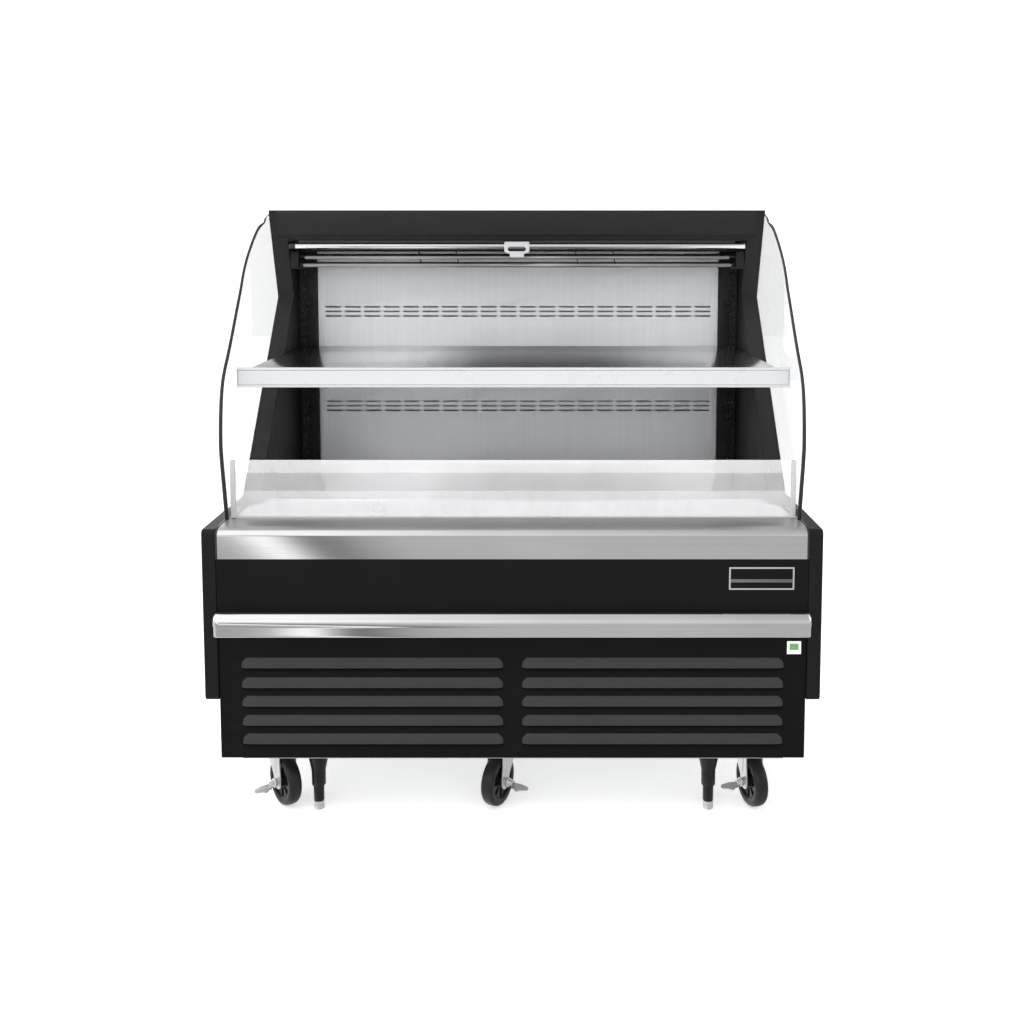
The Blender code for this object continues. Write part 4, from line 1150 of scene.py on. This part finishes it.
add_box(bm, -15, -11, 390, 422, 600, 624)
add_box(bm, 11, 15, 390, 422, 600, 624)
add_box(bm, -24, 24, 393, 396, 594, 630)
obj_from(bm, "evaporator_motor_arm", ROOT, M["galv"], 30, 0.6, 2, slot="galvanised")

# Cord inlet: recessed socket with three pins
bm = bmesh.new()
for a in ((560, 566, 204, 244), (610, 616, 204, 244), (566, 610, 204, 210), (566, 610, 238, 244)):
    add_box(bm, a[0], a[1], 868, 888, a[2], a[3])
add_box(bm, 565, 611, 868, 872, 209, 239)
obj_from(bm, "inlet_body", ROOT, M["leg"], 30, 0.8, 2, replaces=("cord_inlet",))
bm = bmesh.new()
for x, z in ((576, 221), (588, 227), (600, 221)):
    add_box(bm, x - 1.2, x + 1.2, 871, 885, z - 3.2, z + 3.2)
obj_from(bm, "inlet_pins", ROOT, M["screw"], 30, 0.5, 2, slot="galvanised")

# ------------------------------------------------------------------ casters
KINGPINS = {"front_left": (-597, 115, 39, -1, 1), "front_mid": (-28, 115, -27, 1, 1),
            "front_right": (597, 115, 16, -1, 1), "rear_left": (-597, 790, 180, 0, 0),
            "rear_right": (597, 790, 180, 0, 0)}


def sheet_plate(bm, turn, x0, x1, outline):
    """A flat pressed plate across the caster's axle direction."""
    prism(bm, [turn @ (Vector((x0, y, z)) * MM) for y, z in outline], turn.to_3x3() @ Vector(((x1 - x0) * MM, 0, 0)))


for name, (kx, kt, yaw, side, lift) in KINGPINS.items():
    fork, wheel, pedal = f"caster_fork_{name}", f"caster_wheel_{name}", f"brake_pedal_{name}"
    turn = Matrix.Translation(pt(kx, kt, 0)) @ Matrix.Rotation(math.radians(yaw), 4, "Z")
    az = 62.5 + lift
    pin = turn @ Matrix.Translation(Vector((0, -28, az)) * MM)
    upright_axis = turn @ Matrix.Rotation(math.radians(-90), 4, "Y")
    # Fork: crown, two drawn side plates that narrow to the axle, bearing housing
    bm = bmesh.new()
    leg_out = [(-39, 141)] + [(-40.5, 118), (-42, 104), (-44.5, 88), (-46, az + 12)] + \
        [(-28 + 18.5 * math.cos(math.radians(a)), az + 18.5 * math.sin(math.radians(a))) for a in range(172, 371, 18)] + \
        [(-8.6, az + 10), (-4, az + 19), (6, 96), (18, 112), (28, 126), (31, 141)]
    for s in (-1, 1):
        sheet_plate(bm, turn, s * 20.6, s * 24.0, leg_out if s > 0 else leg_out)
    crown = [(-24, -38), (24, -38), (24, 30), (14, 34), (-14, 34), (-24, 30)]
    prism(bm, [turn @ (Vector((x, y, 137.5)) * MM) for x, y in crown], Vector((0, 0, 4 * MM)))
    obj_from(bm, f"fork_sheet_{name}", fork, M["zinc"], 35, 1.1, 3, replaces=(fork,))
    bm = bmesh.new()
    add_turned(bm, [(0, 141), (30, 141), (34, 142.2), (37, 145), (38.2, 148.5), (37.4, 152.2), (35.4, 153), (35.4, 153.8), (37.8, 154.4), (38.6, 156), (37.8, 157.4), (0, 157.6)], 40, upright_axis)
    add_turned(bm, [(0, 132), (7, 132), (8.6, 133), (8.6, 137.6), (0, 137.6)], 20, upright_axis)
    obj_from(bm, f"swivel_race_{name}", fork, M["zinc"], 40, slot="zinc_steel")
    bm = bmesh.new()
    for s in (-1, 1):
        ring_x = [(0, s * 20), (12.5, s * 20), (12.5, s * 24.4), (10.5, s * 25.6), (6, s * 25.8), (0, s * 25.8)]
        add_turned(bm, ring_x, 28, pin)
        hexa = [(0, s * 25.6), (7.6, s * 25.6), (7.6, s * 28.0), (6.6, s * 28.4), (0, s * 28.4)]
        add_turned(bm, hexa, 6, pin)
    add_turned(bm, [(0, -28.2), (4.8, -28.2), (4.8, 28.2), (0, 28.2)], 20, pin)
    # stiffening beads pressed up the side plates
    for s in (-1, 1):
        bead = [(-22, az + 22), (-16, az + 22), (4, 122), (4, 130), (-26, 130), (-26, 122)]
        sheet_plate(bm, turn, s * 23.6, s * 25.0, bead)
    obj_from(bm, f"fork_bosses_{name}", fork, M["zinc"], 40, 0.5, 2, slot="zinc_steel")
    # Wheel: tyre with rounded shoulders on a dished centre
    tyre = [(44, -15.5), (49, -16.9), (54, -17), (58.5, -15.4), (61, -12), (62.1, -8), (62.5, -4), (62.5, 4), (62.1, 8), (61, 12), (58.5, 15.4), (54, 17), (49, 16.9), (44, 15.5)]
    turned(f"tyre_{name}", wheel, M["rubber"], tyre, 72, pin, 40, replaces=(wheel,))
    centre = [(5.6, -17.4), (11, -17.4), (13, -16.4), (14, -12), (20, -9.6), (38, -9.2), (41, -10.8), (42.6, -14.6), (44.6, -15.7), (44.6, 15.7), (42.6, 14.6), (41, 10.8), (38, 9.2), (20, 9.6), (14, 12), (13, 16.4), (11, 17.4), (5.6, 17.4)]
    turned(f"wheel_centre_{name}", wheel, M["leg"], centre, 60, pin, 40, slot="wheel_rubber")
    bm = bmesh.new()
    for k in range(8):
        a = math.pi / 4 * k
        rot = pin @ Matrix.Rotation(a, 4, "X")
        for s in (-1, 1):
            vs = [rot @ (Vector((x, y, z)) * MM) for x, y, z in ((s * 9.0, -1.4, 13), (s * 9.0, 1.4, 13), (s * 9.0, 1.4, 42), (s * 9.0, -1.4, 42))]
            out = rot.to_3x3() @ (Vector((s * 3.6, 0, 0)) * MM)
            prism(bm, vs, out)
    obj_from(bm, f"wheel_ribs_{name}", wheel, M["leg"], 35, 0.5, 2, slot="wheel_rubber")
    if side:
        s = side
        bm = bmesh.new()
        arm = [(-38, az - 4), (-36, az + 5), (-30, az + 10), (-18, az + 6), (4, 53), (8, 44), (2, 38.5), (-8, 40), (-18, az - 12), (-30, az - 11)]
        sheet_plate(bm, turn, s * 29.2, s * 32.4, arm)
        toe = [(30, -11), (34, -14), (41, -18), (48, -25), (53, -28), (57, -24), (61, -18), (68, -17), (75, -13), (76, -5), (71, 3), (60, 7), (48, 10.5), (34, 9.5), (30, 8)]
        prism(bm, [turn @ (Vector((s * a, b, 42.5)) * MM) for a, b in toe], Vector((0, 0, 3.4 * MM)))
        sheet_plate(bm, turn, s * 30, s * 33.4, [(-11, 38), (-11, 46), (8, 46), (8, 40)])
        obj_from(bm, f"pedal_plate_{name}", pedal, M["zinc"], 35, 1.0, 3, replaces=(pedal,))
        bm = bmesh.new()
        add_turned(bm, [(0, s * 28.5), (11.4, s * 28.5), (11.4, s * 33.0), (9.6, s * 34.2), (0, s * 34.4)], 28, pin)
        add_turned(bm, [(0, s * 34.2), (7.0, s * 34.2), (7.0, s * 38.0), (6.0, s * 38.6), (0, s * 38.6)], 6, pin)
        add_turned(bm, [(0, s * 38), (4.2, s * 38), (4.2, s * 41), (3.4, s * 41.8), (0, s * 41.8)], 20, pin)
        for k in range(4):
            prism(bm, [turn @ (Vector((s * (44 + 7 * k), y, 45.6)) * MM) for y in (-10, 5)] + [turn @ (Vector((s * (46 + 7 * k), y, 45.6)) * MM) for y in (5, -10)], Vector((0, 0, 1.2 * MM)))
        obj_from(bm, f"pedal_bolt_{name}", pedal, M["zinc"], 35, 0.4, 2, slot="zinc_steel")

# Caster plate bolts under the chassis
bm = bmesh.new()
for name, (kx, kt, yaw, side, lift) in KINGPINS.items():
    for dx in (-38, 38):
        for dt in (-30, 30):
            add_turned(bm, [(0, 155.2), (5.8, 155.2), (5.8, 157.9), (0, 157.9)], 6, z_frame(kx + dx, kt + dt, 0))
obj_from(bm, "caster_bolts", ROOT, M["zinc"], 30, 0.4, 2, slot="galvanised")

# ------------------------------------------------------------------ levelling legs
for side, s in (("left", -1), ("right", 1)):
    zf = z_frame(s * 490.5, 70, 0)
    sleeve = [(0, 157.7), (31.5, 157.7), (32, 157), (32, 153.6), (31, 152.8), (28.6, 152), (27.2, 149.5), (26.6, 144), (25.4, 137), (22.8, 124), (19.8, 110), (18.2, 102), (17.9, 98),
              (17.9, 64.6), (17.2, 63.2), (16.2, 62.8), (14.4, 62.8), (14.4, 139.5), (0, 139.5)]
    turned(f"leg_sleeve_turned_{side}", ROOT, M["leg"], sleeve, 56, zf, 40, replaces=(f"leg_sleeve_{side}",))
    foot = [(0, 111.5), (12.8, 111.5), (13.5, 110.5), (13.5, 24), (12.4, 21.6), (0, 21.6)]
    turned(f"leg_foot_turned_{side}", f"leg_foot_{side}", M["leg"], foot, 48, zf, 40, replaces=(f"leg_foot_{side}",))
    pad = [(0, 21.2), (12.4, 21.2), (13.0, 20.6), (13.0, 13.6), (12.3, 12.8), (12.3, 11.6), (13.0, 10.8), (13.0, 1.4), (12.0, 0.2), (0, 0.2)]
    turned(f"leg_foot_pad_{side}", f"leg_foot_{side}", M["zinc"], pad, 48, zf, 40, slot="zinc_steel")

# Dark sheet behind the louvred panel: painted shade standing in for the unlit compartment, so the slots look into
# shade.
slab("compartment_shade_sheet", ROOT, M["strip"], -662, 662, 58, 60, 206, 462, 0.5, 2, slot="black_panel")
